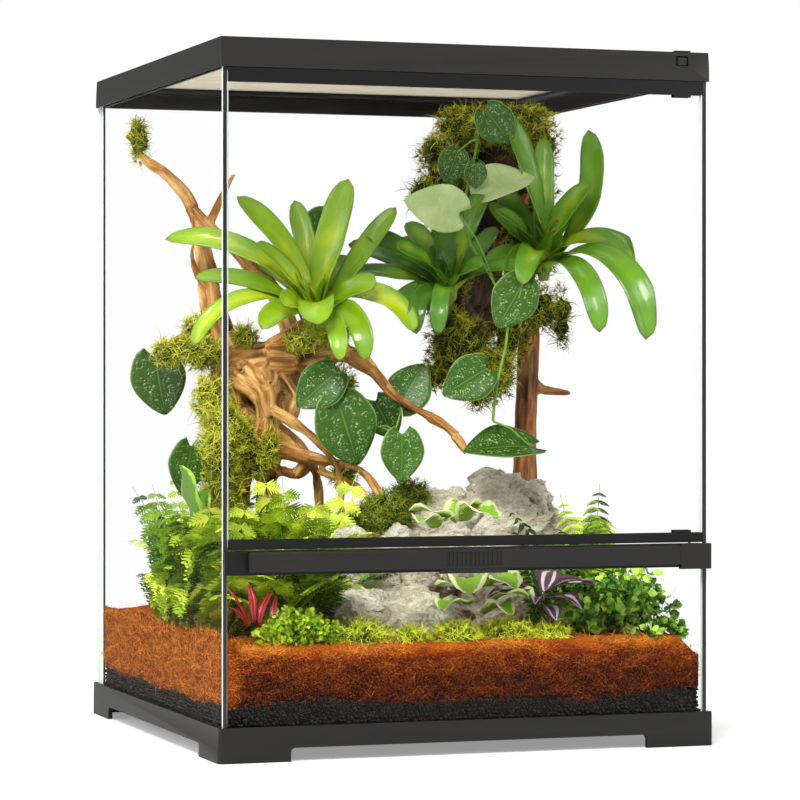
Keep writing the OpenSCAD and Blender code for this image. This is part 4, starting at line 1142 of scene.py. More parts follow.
@dataclass
class Ground:
    """Clay beads and coconut soil behind the panes."""

    frame: dict
    half: float = 218.7
    bead: float = 1.9
    floor: float = 26.0
    fibre: Coir = Coir("coir_fibre", "341404", "94460c", "e89c3c")

    def beads_top(self, x: float, y: float) -> float:
        """Height of the beads, as in the CAD."""
        return (48 + 2.5 * math.sin(math.radians(2.1 * x + 30))
                + 2 * math.cos(math.radians(2.7 * y + x)))

    def core(self, node: str, inset: float) -> bmesh.types.BMesh:
        """A node's copy whose sides stand back from the panes."""
        bm = node_copy(self.frame["nodes"][node])
        limit = (self.half - inset) * MM
        for vert in bm.verts:
            vert.co.x = max(-limit, min(limit, vert.co.x))
            vert.co.y = max(-limit, min(limit, vert.co.y))
        return bm

    def sides(self) -> Iterator[tuple[Vector, Vector]]:
        """The four panes, each as its outward direction and its run to the right."""
        for turn in range(4):
            way = Matrix.Rotation(turn * math.pi / 2, 3, "Z")
            yield way @ Vector((0, -1, 0)), way @ Vector((1, 0, 0))

    def beads(self) -> None:
        """Stack beads along the four panes over a dark core."""
        clay = FiredClay().material()
        to_piece("bead_core", self.core("drainage_layer", 2.6), clay, slot="clay_beads",
                 stands_for=["drainage_layer"], sharp=40)
        bm = bmesh.new()
        bmesh.ops.create_icosphere(bm, subdivisions=1, radius=self.bead * 1.04)
        stamp = Stamp(bm)
        rng = random.Random(11)
        field = Scatter()
        step = 2 * self.bead
        for out, run in self.sides():
            count = int(2 * (self.half - self.bead) / step)
            for row in range(12):
                for i in range(count):
                    along = -self.half + self.bead + (i + 0.5 * (row % 2)) * step
                    spot = out * (self.half - self.bead - rng.uniform(0.05, 0.6)) + run * along
                    z = self.floor + self.bead + row * step * 0.9
                    if z > self.beads_top(spot.x, spot.y) + rng.uniform(-1.5, 2.5):
                        continue
                    spot += run * rng.uniform(-0.8, 0.8)
                    spot.z = z + rng.uniform(-0.9, 0.9)
                    field.add(stamp, facing(spot, on_ball(rng), rng.uniform(0.6, 0.99),
                                            0.0), rng.random() ** 1.6)
        from_mesh("clay_beads", field.mesh("clay_beads"), clay, slot="clay_beads")

    def soil_top(self, x: float, y: float) -> float:
        """Height of the soil along the panes, eased into the level middle."""
        edge = max(abs(x), abs(y)) / self.half
        if x < -self.half * 0.97:
            rim = 105 + 3 * math.sin(math.radians(1.6 * y))
        elif y > self.half * 0.97:
            rim = 104 + 3 * math.sin(math.radians(2 * x))
        elif x > self.half * 0.97:
            rim = 84 + 4 * math.sin(math.radians(2 * y))
        else:
            rim = 87 + 6 * math.sin(math.radians(3.1 * x - 40))
        share = max(0.0, (edge - 0.9) / 0.1)
        return SOIL * (1 - share) + rim * share

    def soil(self) -> None:
        """Make the crumbly soil and the fibres that lie in its faces and on its top."""
        coir = Coir("coir").material()
        bm = self.core("coir_layer", 1.3)
        bmesh.ops.subdivide_edges(bm, edges=[e for e in bm.edges if e.calc_length() > 0.018],
                                  cuts=3, use_grid_fill=True)
        bmesh.ops.subdivide_edges(bm, edges=[e for e in bm.edges if e.calc_length() > 0.009],
                                  cuts=1, use_grid_fill=True)
        bmesh.ops.triangulate(bm, faces=[f for f in bm.faces if len(f.verts) > 4])
        for vert in bm.verts:
            if vert.co.z > 0.07:
                vert.co.z += 0.0022 * noise.noise(vert.co * 90) + 0.001 * noise.noise(
                    vert.co * 300)
        to_piece("coir_bed", bm, coir, slot="coir", stands_for=["coir_layer"])
        rng = random.Random(3)
        stamps = [strand(5 + 1.7 * k, 0.55, 0.8 * (k - 2), 2) for k in range(5)]
        field = Scatter()
        for out, run in self.sides():
            amount = 6500 if out.x < -0.5 or out.y < -0.5 else 3500
            for _ in range(amount):
                along = rng.uniform(-self.half + 4, self.half - 4)
                spot = out * (self.half - rng.uniform(0.2, 1.6)) + run * along
                top = self.soil_top(spot.x, spot.y)
                low = self.beads_top(spot.x, spot.y)
                spot.z = low + (top - low) * rng.random() ** 0.8 + rng.uniform(-0.5, 1.0)
                angle = rng.gauss(0, 0.9)
                way = run * math.cos(angle) * rng.choice((-1, 1)) + Vector((0, 0, 1)) * math.sin(
                    angle) - out * rng.uniform(0, 0.12)
                turn = Matrix.Rotation(rng.uniform(0, math.tau), 3, way)
                place = self.flat(spot, way, turn @ out, rng.uniform(0.5, 1.1))
                field.add(rng.choice(stamps), place, rng.random())
        for _ in range(6000):
            x = rng.uniform(-self.half + 8, self.half - 8)
            y = rng.uniform(-self.half + 4, self.half - 8)
            if rng.random() < 0.35:
                y = -self.half + 3 + abs(rng.gauss(0, 9))
            angle = rng.uniform(0, math.tau)
            way = Vector((math.cos(angle), math.sin(angle), rng.uniform(-0.1, 0.7)))
            spot = Vector((x, y, self.soil_top(x, y) + rng.uniform(-1, 1.5)))
            field.add(rng.choice(stamps), facing(spot, way, rng.uniform(0.5, 1.1),
                                                 rng.uniform(0, 6)), rng.random() * 0.6 + 0.4)
        from_mesh("coir_fibres", field.mesh("coir_fibres"), self.fibre.material(),
                  slot="coir")

    def crumbs(self) -> None:
        """Press crumbs of soil against the panes."""
        rng = random.Random(8)
        stamps = []
        for _ in range(4):
            bm = bmesh.new()
            bmesh.ops.create_icosphere(bm, subdivisions=1, radius=1.0)
            for vert in bm.verts:
                vert.co *= rng.uniform(0.6, 1.2)
            stamps.append(Stamp(bm))
        field = Scatter()
        for out, run in self.sides():
            amount = 3600 if out.x < -0.5 or out.y < -0.5 else 1200
            for _ in range(amount):
                along = rng.uniform(-self.half + 1.5, self.half - 1.5)
                spot = out * (self.half - rng.uniform(1.3, 2.2)) + run * along
                low, top = self.beads_top(spot.x, spot.y), self.soil_top(spot.x, spot.y)
                spot.z = rng.uniform(low - 1.5, top + 1.0)
                field.add(rng.choice(stamps), facing(spot, on_ball(rng), rng.uniform(0.6, 1.3),
                                                     0.0), rng.random())
        from_mesh("coir_crumbs", field.mesh("coir_crumbs"), Coir("coir_crumb").material(),
                  slot="coir")

    def flat(self, spot: Vector, way: Vector, normal: Vector, size: float) -> Matrix:
        """Placement of a fibre whose flat side turns to a direction."""
        z = way.normalized()
        x = z.cross(normal)
        x = x.normalized() if x.length > 1e-6 else z.orthogonal().normalized()
        y = z.cross(x)
        basis = Matrix((x, y, z)).transposed().to_4x4()
        return Matrix.Translation(spot) @ basis @ Matrix.Scale(size, 4)

    def build(self) -> None:
        """Build beads and soil."""
        self.beads()
        self.soil()
        self.crumbs()


# ---------- stone and wood ----------


@dataclass
class Stone:
    """The large craggy stone."""

    frame: dict
    voxel: float = 2.1
    seed: int = 12

    def build(self) -> None:
        """Erode the CAD boulders into a craggy, pitted stone."""
        noise.seed_set(self.seed)
        bm = settled(node_copy(self.frame["nodes"]["large_stone"]), self.voxel, 4)
        tilt = Matrix.Rotation(math.radians(28), 3, "Y")

        def depth(co: Vector) -> float:
            bed = tilt @ co
            total = noise.noise(co * 17) * 3
            for scale, high in ((26, 9), (62, 3.6)):
                spot = Vector((bed.x, bed.y, bed.z * 1.5)) * scale
                cell = noise.voronoi(spot)[1][0]
                total += high * (spot - cell).dot(noise.noise_vector(cell * 5.3).normalized())
            return (total + noise.fractal(co * 130, 0.7, 2.0, 3) * 1.2) * MM

        raised(bm, [depth(vert.co) for vert in bm.verts])
        to_piece("craggy_stone", bm, PittedRock().material(), slot="rock",
                 stands_for=["large_stone"])


@dataclass
class Wood:
    """Root wood skinned over its routes, with bark streaks along each branch."""

    name: str
    routes: list
    finish: RootWood
    stands_for: str
    slot: str
    voxel: float = 2.2
    knots: float = 1.0
    wobble: float = 2.4

    def segments(self) -> tuple[np.ndarray, np.ndarray, np.ndarray, np.ndarray]:
        """Ends, radii and length so far of every stretch."""
        a, b, r, s = [], [], [], []
        for route in self.routes:
            run = 0.0
            for p, q in zip(route, route[1:]):
                a.append(p[:3])
                b.append(q[:3])
                r.append((p[3], q[3]))
                s.append(run)
                run += (Vector(q[:3]) - Vector(p[:3])).length
        return np.array(a, float), np.array(b, float), np.array(r, float), np.array(s, float)

    def grain(self, co: np.ndarray) -> tuple[np.ndarray, np.ndarray]:
        """Coordinates that run with the wood, an eighth as fast along it, and radii."""
        a, b, r, s = self.segments()
        best = np.full(len(co), 1e9)
        out = np.zeros((len(co), 3))
        thick = np.zeros(len(co))
        for p, q, radii, run in zip(a, b, r, s):
            line = q - p
            length = np.linalg.norm(line)
            t = np.clip((co - p) @ line / length ** 2, 0, 1)
            off = co - (p + t[:, None] * line)
            radius = radii[0] * (1 - t) + radii[1] * t
            gap = np.linalg.norm(off, axis=1) - radius
            take = gap < best
            best[take] = gap[take]
            along = (run + t * length) * 0.12
            value = off + (line / length)[None, :] * along[:, None] + run * 0.01
            out[take] = value[take]
            thick[take] = radius[take]
        return out * MM, thick

    def gnarl(self, along: Vector, co: Vector) -> float:
        """Height of the ridges along the grain and of the knots, in millimetres."""
        ridge = noise.ridged_multi_fractal(along * 105, 0.9, 2.1, 3, 1.0, 2.0) - 1.2
        return ridge * 1.3 * self.knots + noise.noise(co * 42) * self.wobble

    def build(self) -> None:
        """Skin the routes, gnarl the skin and dress it."""
        rng = random.Random(len(self.routes))
        shapes = [tube([(x + rng.uniform(-1, 1), y + rng.uniform(-1, 1), z, radius)
                        for x, y, z, radius in route], 12) for route in self.routes]
        bm = settled(joined(shapes), self.voxel, 2)
        bmesh.ops.bisect_plane(bm, geom=list(bm.verts) + list(bm.edges) + list(bm.faces),
                               dist=1e-6, plane_co=(0, 0, SOIL * MM), plane_no=(0, 0, 1),
                               clear_inner=True)
        layer = bm.verts.layers.float_vector.new("grain")
        grain, thick = self.grain(np.array([tuple(v.co / MM) for v in bm.verts]))
        for vert, value in zip(bm.verts, grain):
            vert[layer] = Vector(value)
        raised(bm, [self.gnarl(Vector(vert[layer]), vert.co) * amount * MM
                    for vert, amount in zip(bm.verts, np.minimum(1, thick / 11))])
        to_piece(self.name, bm, self.finish.material(), slot=self.slot,
                 stands_for=[self.stands_for] if self.stands_for else [])


# ---------- moss ----------


@dataclass
class Moss:
    """Tufts of moss: a cushion kept dark as painted shade, with shoots and long strands standing
    out of it.
    """

    name: str
    tufts: list
    node: str
    finish: MossTuft
    amount: int
    length: float
    seed: int
    stringy: float = 0.5
    floor: float = SOIL

    def cushion(self) -> bmesh.types.BMesh:
        """The rough cushions under the shoots."""
        bm = bmesh.new()
        for x, y, z, r, h in self.tufts:
            bmesh.ops.create_icosphere(
                bm, subdivisions=4, radius=1.0,
                matrix=Matrix.Translation((x * MM, y * MM, z * MM))
                @ Matrix.Diagonal((r * 0.68 * MM, r * 0.68 * MM, h * 0.68 * MM, 1)))
        bm.normal_update()
        tone = bm.verts.layers.float.new("tone")
        for vert in bm.verts:
            swell = noise.fractal(vert.co * 70, 0.8, 2.0, 4)
            # painted shade: the cushion's tone stays dark, lighter only where it swells out
            vert[tone] = 0.12 + 0.3 * max(0.0, swell)
            vert.co += vert.normal * (6.0 * swell) * MM
            vert.co.z = min(max(vert.co.z, self.floor * MM - 0.002), 0.590)
        return bm

    def build(self) -> None:
        """Make the cushions and plant the shoots."""
        rng = random.Random(self.seed)
        shoots = [sprig(self.seed + k, 7, self.length, 1.0, 1.1) for k in range(4)]
        strands = [strand(self.length * (1.2 + 0.25 * k), 0.95, bend, 4)
                   for k, bend in enumerate((-1.7, 1.1, 2.2, -0.7))]
        field = Scatter()
        area = sum((t[3] * (t[3] + t[4])) ** 0.8 for t in self.tufts)
        reach = self.length * 1.7
        for x, y, z, r, h in self.tufts:
            for _ in range(int(self.amount * (r * (r + h)) ** 0.8 / area)):
                out = on_ball(rng)
                deep = rng.uniform(0.6, 1.0)
                spot = Vector((x + out.x * r * deep, y + out.y * r * deep, z + out.z * h * deep))
                spot += on_ball(rng) * 2.5
                if spot.z < self.floor - 1:
                    continue
                way = Vector((out.x, out.y, out.z * r / h)).normalized() + on_ball(rng) * 0.7
                way.z += 0.2
                for value in (0, 1):
                    spot[value] = max(reach - ROOM, min(ROOM - reach, spot[value]))
                spot.z = min(spot.z, CEILING - reach)
                kinds = strands if rng.random() < self.stringy else shoots
                # painted light: sprigs facing up and standing further out are lighter, with a
                # random spread
                light = 0.3 + 0.2 * out.z + 0.9 * (deep - 0.6) + rng.uniform(-0.35, 0.35)
                field.add(rng.choice(kinds), facing(spot, way, rng.uniform(0.55, 1.15),
                                                    rng.uniform(0, 6)),
                          max(0.0, min(1.0, light)))
        finish = self.finish.material()
        to_piece(self.name + "_cushion", self.cushion(), finish, slot="moss",
                 stands_for=[self.node] if self.node else [])
        from_mesh(self.name + "_shoots", inside(field.mesh(self.name)), finish, slot="moss")


# ---------- leaves ----------


@dataclass
class Rosette:
    """A bromeliad: arching strap leaves around a cup, their faces turned to the door."""

    name: str
    key: str
    finish: StrapLeaf
    extra: list
    width_gain: float = 1.2

    def leaf(self, row: Sequence[float], seed: int) -> Stamp:
        """One blade, as [turn, pitch at its foot and tip, length, width] in the CAD."""
        turn, foot, tip, length, width = row
        rng = random.Random(seed)
        sway = rng.uniform(-0.05, 0.05)
        half = width * self.width_gain / 2
        start, bend = math.radians(foot), math.radians(tip - foot)
        ahead = Matrix.Rotation(math.radians(-turn), 3, "Z") @ Vector((-0.32, -0.95, 0.1))
        mid = start + bend * 0.5
        face = Vector((-math.sin(mid), 0, math.cos(mid)))
        turned = math.atan2(-ahead.y, face.dot(ahead))
        roll = max(-1.15, min(1.15, turned)) * rng.uniform(0.6, 0.95)

        def shape(u: float, v: float) -> Point:
            out, up, pitch = arched(length, start, bend, v)
            wide = 0.62 + 0.38 * math.sin(math.pi / 2 * min(1.0, v / 0.62))
            if v > 0.76:
                wide *= max(0.0, 1 - ((v - 0.76) / 0.24) ** 2.1) ** 0.56
            wide = max(wide, 0.01) * half
            lift = (0.5 - 0.3 * v) * wide * abs(u) ** 1.25
            lift += 0.06 * half * math.sin(v * 13 + seed) * u
            angle = roll * min(1.0, v * 1.8) ** 1.2
            side = u * wide * math.cos(angle) - lift * math.sin(angle)
            lift = u * wide * math.sin(angle) + lift * math.cos(angle)
            return (out - lift * math.sin(pitch), side + sway * length * v * v,
                    up + lift * math.cos(pitch))

        bm = sheet(8, 28, shape)
        bm.transform(Matrix.Rotation(math.radians(turn), 4, "Z"))
        return Stamp(bm)

    def build(self) -> None:
        """Set the leaves and the cup."""
        middle, core, rows = BLADES[self.key]
        field = Scatter()
        rng = random.Random(core)
        for i, row in enumerate(rows + self.extra):
            field.add(self.leaf(row, i), Matrix.Translation(middle), rng.random() * 0.6)
        for i in range(7):
            row = (i * 52 + 20, 84, 40 + 8 * (i % 3), 40 + 8 * (i % 3), 16)
            field.add(self.leaf(row, 40 + i), Matrix.Translation(middle), rng.random() * 0.3)
        piece = from_mesh(self.name, inside(field.mesh(self.name)), self.finish.material(),
                          slot="lime_leaf", stands_for=[self.key + "_bromeliad"])
        thicken(piece, 0.8)
        bm = bmesh.new()
        bmesh.ops.create_cone(bm, cap_ends=True, segments=18, radius1=core * 0.45 * MM,
                              radius2=core * 0.75 * MM, depth=core * 1.6 * MM)
        bmesh.ops.translate(bm, verts=bm.verts, vec=Vector(middle) * MM)
        bmesh.ops.bevel(bm, geom=list(bm.edges), offset=0.0015, offset_type="OFFSET", segments=2,
                        profile=0.5, affect="EDGES", material=-1)
        to_piece(self.name + "_cup", bm, self.finish.material(), slot="lime_leaf")


def heart_leaf(length: float, seed: int, fold: float = 1.0) -> Stamp:
    """A heart-shaped leaf in its own plane: stalk at the origin, tip along +X, face up."""
    rng = random.Random(seed)
    cup = rng.uniform(0.1, 0.3) * fold
    curl = rng.uniform(0.02, 0.2) * fold
    lean = rng.uniform(-0.35, 0.35)

    def shape(u: float, v: float) -> Point:
        wide = 0.47 * length * math.sin(math.pi * min(0.995, 0.02 + 0.97 * v) ** 0.68) ** 0.72
        lobe = 0.18 * length * abs(u) ** 1.4 * math.exp(-(v / 0.16) ** 2)
        side = u * wide
        lift = cup * abs(side) ** 1.3 / length ** 0.3 + 0.015 * length * math.sin(7 * v + seed) * u
        lift -= curl * length * v * v
        return (length * v - lobe, side * math.cos(lean) - lift * math.sin(lean),
                side * math.sin(lean) + lift * math.cos(lean))

    return Stamp(sheet(10, 18, shape))


@dataclass
class Vine:
    """Climbing stem with heart-shaped leaves on stalks."""

    name: str
    node: str
    stems: list
    leaves: list
    pale: tuple = ()

    def place(self, row: Sequence[float]) -> Matrix:
        """A leaf's placement, as the CAD turns it."""
        x, y, z, _, way, lean = row
        return (Matrix.Translation((x, y, z)) @ Matrix.Rotation(math.radians(-way), 4, "Y")
                @ Matrix.Rotation(math.radians(lean), 4, "X")
                @ Matrix.Rotation(math.radians(90), 4, "X"))

    def build(self) -> None:
        """Run the stems, the stalks and the leaves."""
        rng = random.Random(len(self.leaves))
        field = Scatter()
        shapes = [tube([(*p, 1.3) for p in stem], 8) for stem in self.stems]
        for i, (row, root) in enumerate(self.leaves):
            field.add(heart_leaf(row[3] * 1.04, i + len(self.name), 2.6 if i in self.pale else 1.0),
                      self.place(row), rng.random())
            foot, end = Vector(root), Vector(row[:3])
            mid = (foot + end) / 2 + Vector((rng.uniform(-5, 5), -4, 5))
            shapes.append(tube([(*foot, 1.1), (*mid, 0.9), (*end, 0.8)], 6, False))
        mesh = field.mesh(self.name)
        pale = mesh.attributes.new("pale", "FLOAT", "POINT")
        size = len(mesh.vertices) // len(self.leaves)
        pale.data.foreach_set("value", np.repeat(
            [1.0 if i in self.pale else 0.0 for i in range(len(self.leaves))], size))
        piece = from_mesh(self.name, mesh, FleckedLeaf(self.name + "_leaf").material(),
                          slot="vine_leaf", stands_for=[self.node])
        thicken(piece, 0.7)
        stalk = MossTuft("green_stalk", "3f5a22", "6f9a3a", "9cc35a").material()
        bm = joined(shapes)
        layer = bm.verts.layers.float.new("tone")
        for vert in bm.verts:
            vert[layer] = 0.6
        to_piece(self.name + "_stems", bm, stalk, slot="vine_leaf")


def frond(length: float, width: float, pairs: int, foot: float, tip: float, seed: int,
          slim: float = 0.2, lobes: int = 0) -> Stamp:
    """A fern frond that rises along +X and arches.

    Args:
        length: Its length.
        width: Its width over the leaflets.
        pairs: Number of pairs of leaflets.
        foot: Pitch at its foot, in degrees.
        tip: Pitch at its tip, in degrees.
        seed: Seed of its irregularity.
        slim: Width of a leaflet over its length.
        lobes: Pairs of lobes that a leaflet is cut into; 0 leaves it whole.

    Returns:
        The stamp.
    """
    rng = random.Random(seed)
    bend = math.radians(tip - foot)
    start = math.radians(foot)

    def axis(v: float) -> tuple[Vector, float]:
        out, up, pitch = arched(length, start, bend, v)
        return Vector((out, 0, up)), pitch

    parts = [sheet(1, 8, lambda u, v: tuple(
        axis(v)[0] + Vector((0, u * 0.6 * (1 - 0.7 * v), 0))))]
    for i in range(pairs):
        v = 0.1 + 0.88 * i / pairs
        spot, pitch = axis(v)
        reach = width / 2 * math.sin(math.pi * min(0.98, 0.12 + 0.86 * v)) ** 0.7
        for side in (-1, 1):
            r = reach * rng.uniform(0.8, 1.15)
            for leaflet in cut_leaflet(r, slim, lobes) if lobes else [whole_leaflet(r, slim)]:
                parts.append(leaflet)
                leaflet.transform(
                    Matrix.Translation(spot) @ Matrix.Rotation(-pitch, 4, "Y")
                    @ Matrix.Rotation(side * 0.35 + (0 if side > 0 else math.pi), 4, "Z")
                    @ Matrix.Rotation(0.25 * math.sin(seed + i * 2.3 + side), 4, "Y"))
    return gathered(parts)


def whole_leaflet(r: float, slim: float) -> bmesh.types.BMesh:
    """One leaflet along +Y with a wavy edge."""
    return sheet(2, 4, lambda u, w: (
        u * r * slim * math.sin(math.pi * min(0.97, 0.16 + 0.82 * w)) ** 0.8
        * (1 + 0.3 * math.sin(w * 24)), r * w, 0.12 * r * abs(u) - 0.16 * r * w * w))


def cut_leaflet(r: float, slim: float, lobes: int) -> list[bmesh.types.BMesh]:
    """One leaflet along +Y, cut into pairs of slanting lobes."""
    parts = []
    for k in range(lobes):
        w = (k + 0.4) / lobes
        size = r * slim * 1.5 * (1.05 - w) ** 0.6
        for side in (-1, 1):
            lean = side * 0.85
            parts.append(sheet(1, 2, lambda u, v, w=w, size=size, lean=lean: (
                size * v * math.sin(lean)
                + u * r / lobes * 0.55 * (1 - 0.75 * v) * math.cos(lean),
                r * w + size * v * math.cos(lean)
                - u * r / lobes * 0.55 * (1 - 0.75 * v) * math.sin(lean),
                -0.2 * r * w * w - 0.15 * size * v * v)))
    return parts


def gathered(parts: Sequence[bmesh.types.BMesh]) -> Stamp:
    """Join small shapes into one stamp."""
    bm = bmesh.new()
    bm.loops.layers.uv.new("leaf")
    for part in parts:
        held = bpy.data.meshes.new("part")
        part.to_mesh(held)
        part.free()
        bm.from_mesh(held)
        bpy.data.meshes.remove(held)
    return Stamp(bm)


def oval(length: float, width: float) -> bmesh.types.BMesh:
    """A small oval leaf along +Z, face along +Y."""
    return sheet(2, 3, lambda u, v: (
        u * width / 2 * math.sin(math.pi * min(0.98, 0.06 + 0.9 * v)) ** 0.7,
        -0.2 * width * abs(u) + 0.25 * length * v * v, length * v))


@dataclass
class Clump:
    """One clump of fronds on the soil."""

    spot: tuple
    count: int
    length: float
    width: float
    foot: float
    tip: float


@dataclass
class Ferns:
    """Fern clumps of one kind."""

    name: str
    node: str
    finish: ThinLeaf
    clumps: list
    pairs: int = 16
    slim: float = 0.2
    seed: int = 1
    lobes: int = 0

    def build(self) -> None:
        """Grow the clumps; fronds that would meet a pane are turned away or moved back."""
        rng = random.Random(self.seed)
        field = Scatter(LEAVES)
        for clump in self.clumps:
            stamps = [frond(clump.length, clump.width, self.pairs, clump.foot + 8 * (k - 1),
                            clump.tip - 22 * (k - 1), self.seed + k, self.slim, self.lobes)
                      for k in range(3)]
            for i in range(clump.count):
                turn = math.tau * i / clump.count + rng.uniform(-0.35, 0.35)
                size = rng.uniform(0.68, 1.06)
                x, y, z = clump.spot
                reach = clump.length * size * 0.6
                for _ in range(9):
                    if max(abs(x + math.cos(turn) * reach),
                           abs(y + math.sin(turn) * reach)) < ROOM:
                        break
                    turn += 0.7
                stamp = rng.choice(stamps)
                place = (Matrix.Translation((x, y, z)) @ Matrix.Rotation(turn, 4, "Z")
                         @ Matrix.Rotation(rng.uniform(-0.3, 0.3), 4, "X")
                         @ Matrix.Scale(size, 4))
                field.add(stamp, place, rng.random())
        from_mesh(self.name, inside(field.mesh(self.name)), self.finish.material(),
                  slot="fern_leaf", stands_for=[self.node] if self.node else [])


def inside(mesh: bpy.types.Mesh) -> bpy.types.Mesh:
    """Press what would reach through a pane or deep into the soil back against it."""
    co = np.empty(len(mesh.vertices) * 3)
    mesh.vertices.foreach_get("co", co)
    co = co.reshape(-1, 3)
    co[:, :2] = np.clip(co[:, :2], -ROOM * MM, ROOM * MM)
    co[:, 2] = np.clip(co[:, 2], (SOIL - 3) * MM, CEILING * MM)
    mesh.vertices.foreach_set("co", co.ravel())
    mesh.update()
    return mesh


@dataclass
class LeafMound:
    """A mound of small oval leaves over balls [x, y, z, radius, half height]."""

    name: str
    node: str
    finish: ThinLeaf
    balls: list
    amount: int
    leaf: float
    seed: int
    slot: str = "fern_leaf"
    fullness: float = 0.75

    def build(self) -> None:
        """Set the leaves in layers over the balls."""
        rng = random.Random(self.seed)
        stamps = [Stamp(oval(self.leaf * s, self.leaf * s * self.fullness)) for s in
                  (0.8, 1.0, 1.2)]
        stalk = strand(self.leaf * 2.2, 0.5, 0.5, 2)
        field = Scatter(LEAVES)
        area = sum(b[3] * (b[3] + b[4]) for b in self.balls)
        for x, y, z, r, h in self.balls:
            for _ in range(int(self.amount * r * (r + h) / area)):
                out = on_ball(rng)
                deep = rng.uniform(0.55, 1.02)
                spot = Vector((x + out.x * r * deep, y + out.y * r * deep, z + out.z * h * deep))
                if spot.z < SOIL - 1:
                    continue
                way = Vector((out.x, out.y, 0.35)) + on_ball(rng) * 0.7
                # tone: painted shade, leaves deeper in the mound are darker, with a random spread
                field.add(rng.choice(stamps), facing(spot, way, rng.uniform(0.75, 1.2),
                                                     rng.uniform(0, 6)),
                          max(0.0, min(1.0, deep * 0.9 - 0.25 + rng.uniform(-0.3, 0.3))))
                if rng.random() < 0.2:
                    field.add(stalk, facing(spot * 0.97 + Vector((x, y, z)) * 0.03,
                                            on_ball(rng), 1.0, 0.0), 0.3)
        from_mesh(self.name, inside(field.mesh(self.name)), self.finish.material(),
                  slot=self.slot, stands_for=[self.node] if self.node else [])


@dataclass
class Blades:
    """Free lance leaves, each [x, y, z, turn, foot pitch, tip pitch, length, width]."""

    name: str
    node: str
    finish: BandedLeaf | ThinLeaf
    rows: list
    slot: str
    round_tip: bool = False

    def build(self) -> None:
        """Set every leaf."""
        rng = random.Random(len(self.rows))
        field = Scatter()
        for i, (x, y, z, turn, foot, tip, length, width) in enumerate(self.rows):
            bend = math.radians(tip - foot)
            start = math.radians(foot)

            def shape(u: float, v: float) -> Point:
                out, up, pitch = arched(length, start, bend, v)
                power = 0.55 if self.round_tip else 0.85
                wide = width / 2 * math.sin(math.pi * min(0.985, 0.06 + 0.93 * v)) ** power
                lift = (0.3 + 0.25 * math.sin(9 * v + 2.2 * i)) * wide * abs(u) ** 1.5
                return (out - lift * math.sin(pitch), u * wide, up + lift * math.cos(pitch))

            field.add(Stamp(sheet(4, 9, shape)), Matrix.Translation((x, y, z))
                      @ Matrix.Rotation(math.radians(turn), 4, "Z"), rng.random())
        piece = from_mesh(self.name, inside(field.mesh(self.name)), self.finish.material(),
                          slot=self.slot, stands_for=[self.node] if self.node else [])
        thicken(piece, 0.5)


# ---------- studio ----------


@dataclass
class Studio:
    """Floor, light and camera."""

    lens: float = 146.84
    place: Point = (-0.967658, -2.877057, 0.322417)
    heading: float = -18.762
    shift: tuple = (0.0021, -0.023)
    ambient: float = 0.36

    def floor(self) -> None:
        """Lay the pale floor."""
        bm = bmesh.new()
        bmesh.ops.create_grid(bm, x_segments=8, y_segments=8, size=14.0)
        bmesh.ops.translate(bm, verts=bm.verts, vec=(0, 0, -0.0002))
        mesh = bpy.data.meshes.new("floor")
        bm.to_mesh(mesh)
        bm.free()
        floor = bpy.data.objects.new("floor", mesh)
        bpy.context.collection.objects.link(floor)
        dress(floor, Backdrop().material())

    def lamp(self, name: str, spot: Point, size: float, power: float) -> None:
        """Hang one square soft lamp, aimed at the middle of the object."""
        data = bpy.data.lights.new(name, "AREA")
        data.energy = power
        data.size = size
        lamp = bpy.data.objects.new(name, data)
        lamp.location = spot
        aim = Vector((0, 0, 0.3)) - Vector(spot)
        lamp.rotation_euler = aim.to_track_quat("-Z", "Y").to_euler()
        bpy.context.collection.objects.link(lamp)

    def world(self) -> None:
        """White surroundings for the camera, and softer light on the object."""
        world = bpy.data.worlds.new("studio")
        bpy.context.scene.world = world
        world.use_nodes = True
        tree = world.node_tree
        tree.nodes.clear()
        out = tree.nodes.new("ShaderNodeOutputWorld")
        path = tree.nodes.new("ShaderNodeLightPath")
        glow = tree.nodes.new("ShaderNodeBackground")
        glow.inputs["Color"].default_value = (1, 1, 1, 1)
        link = tree.links.new
        level = tree.nodes.new("ShaderNodeMapRange")
        level.inputs["To Min"].default_value = self.ambient
        level.inputs["To Max"].default_value = 1.0
        link(path.outputs["Is Camera Ray"], level.inputs["Value"])
        link(level.outputs[0], glow.inputs["Strength"])
        link(glow.outputs[0], out.inputs["Surface"])

    def camera(self) -> None:
        """Stand the camera where the photograph was taken from."""
        data = bpy.data.cameras.new("view")
        data.lens = self.lens
        data.sensor_width = 36.0
        data.shift_x, data.shift_y = self.shift
        data.clip_end = 100.0
        camera = bpy.data.objects.new("view", data)
        camera.location = self.place
        camera.rotation_euler = (math.radians(90), 0, math.radians(self.heading))
        bpy.context.collection.objects.link(camera)
        bpy.context.scene.camera = camera

    def build(self) -> None:
        """Set up the studio."""
        self.floor()
        self.world()
        self.lamp("key", (-1.1, -1.9, 2.1), 0.9, 88)
        self.lamp("fill", (2.0, -2.0, 1.2), 1.2, 24)
        self.lamp("top", (0.1, 0.4, 2.3), 0.9, 13)
        self.lamp("side", (-2.4, -0.2, 1.3), 1.3, 24)
        self.camera()
        bpy.context.scene.view_settings.view_transform = "Standard"


# ---------- the whole ----------


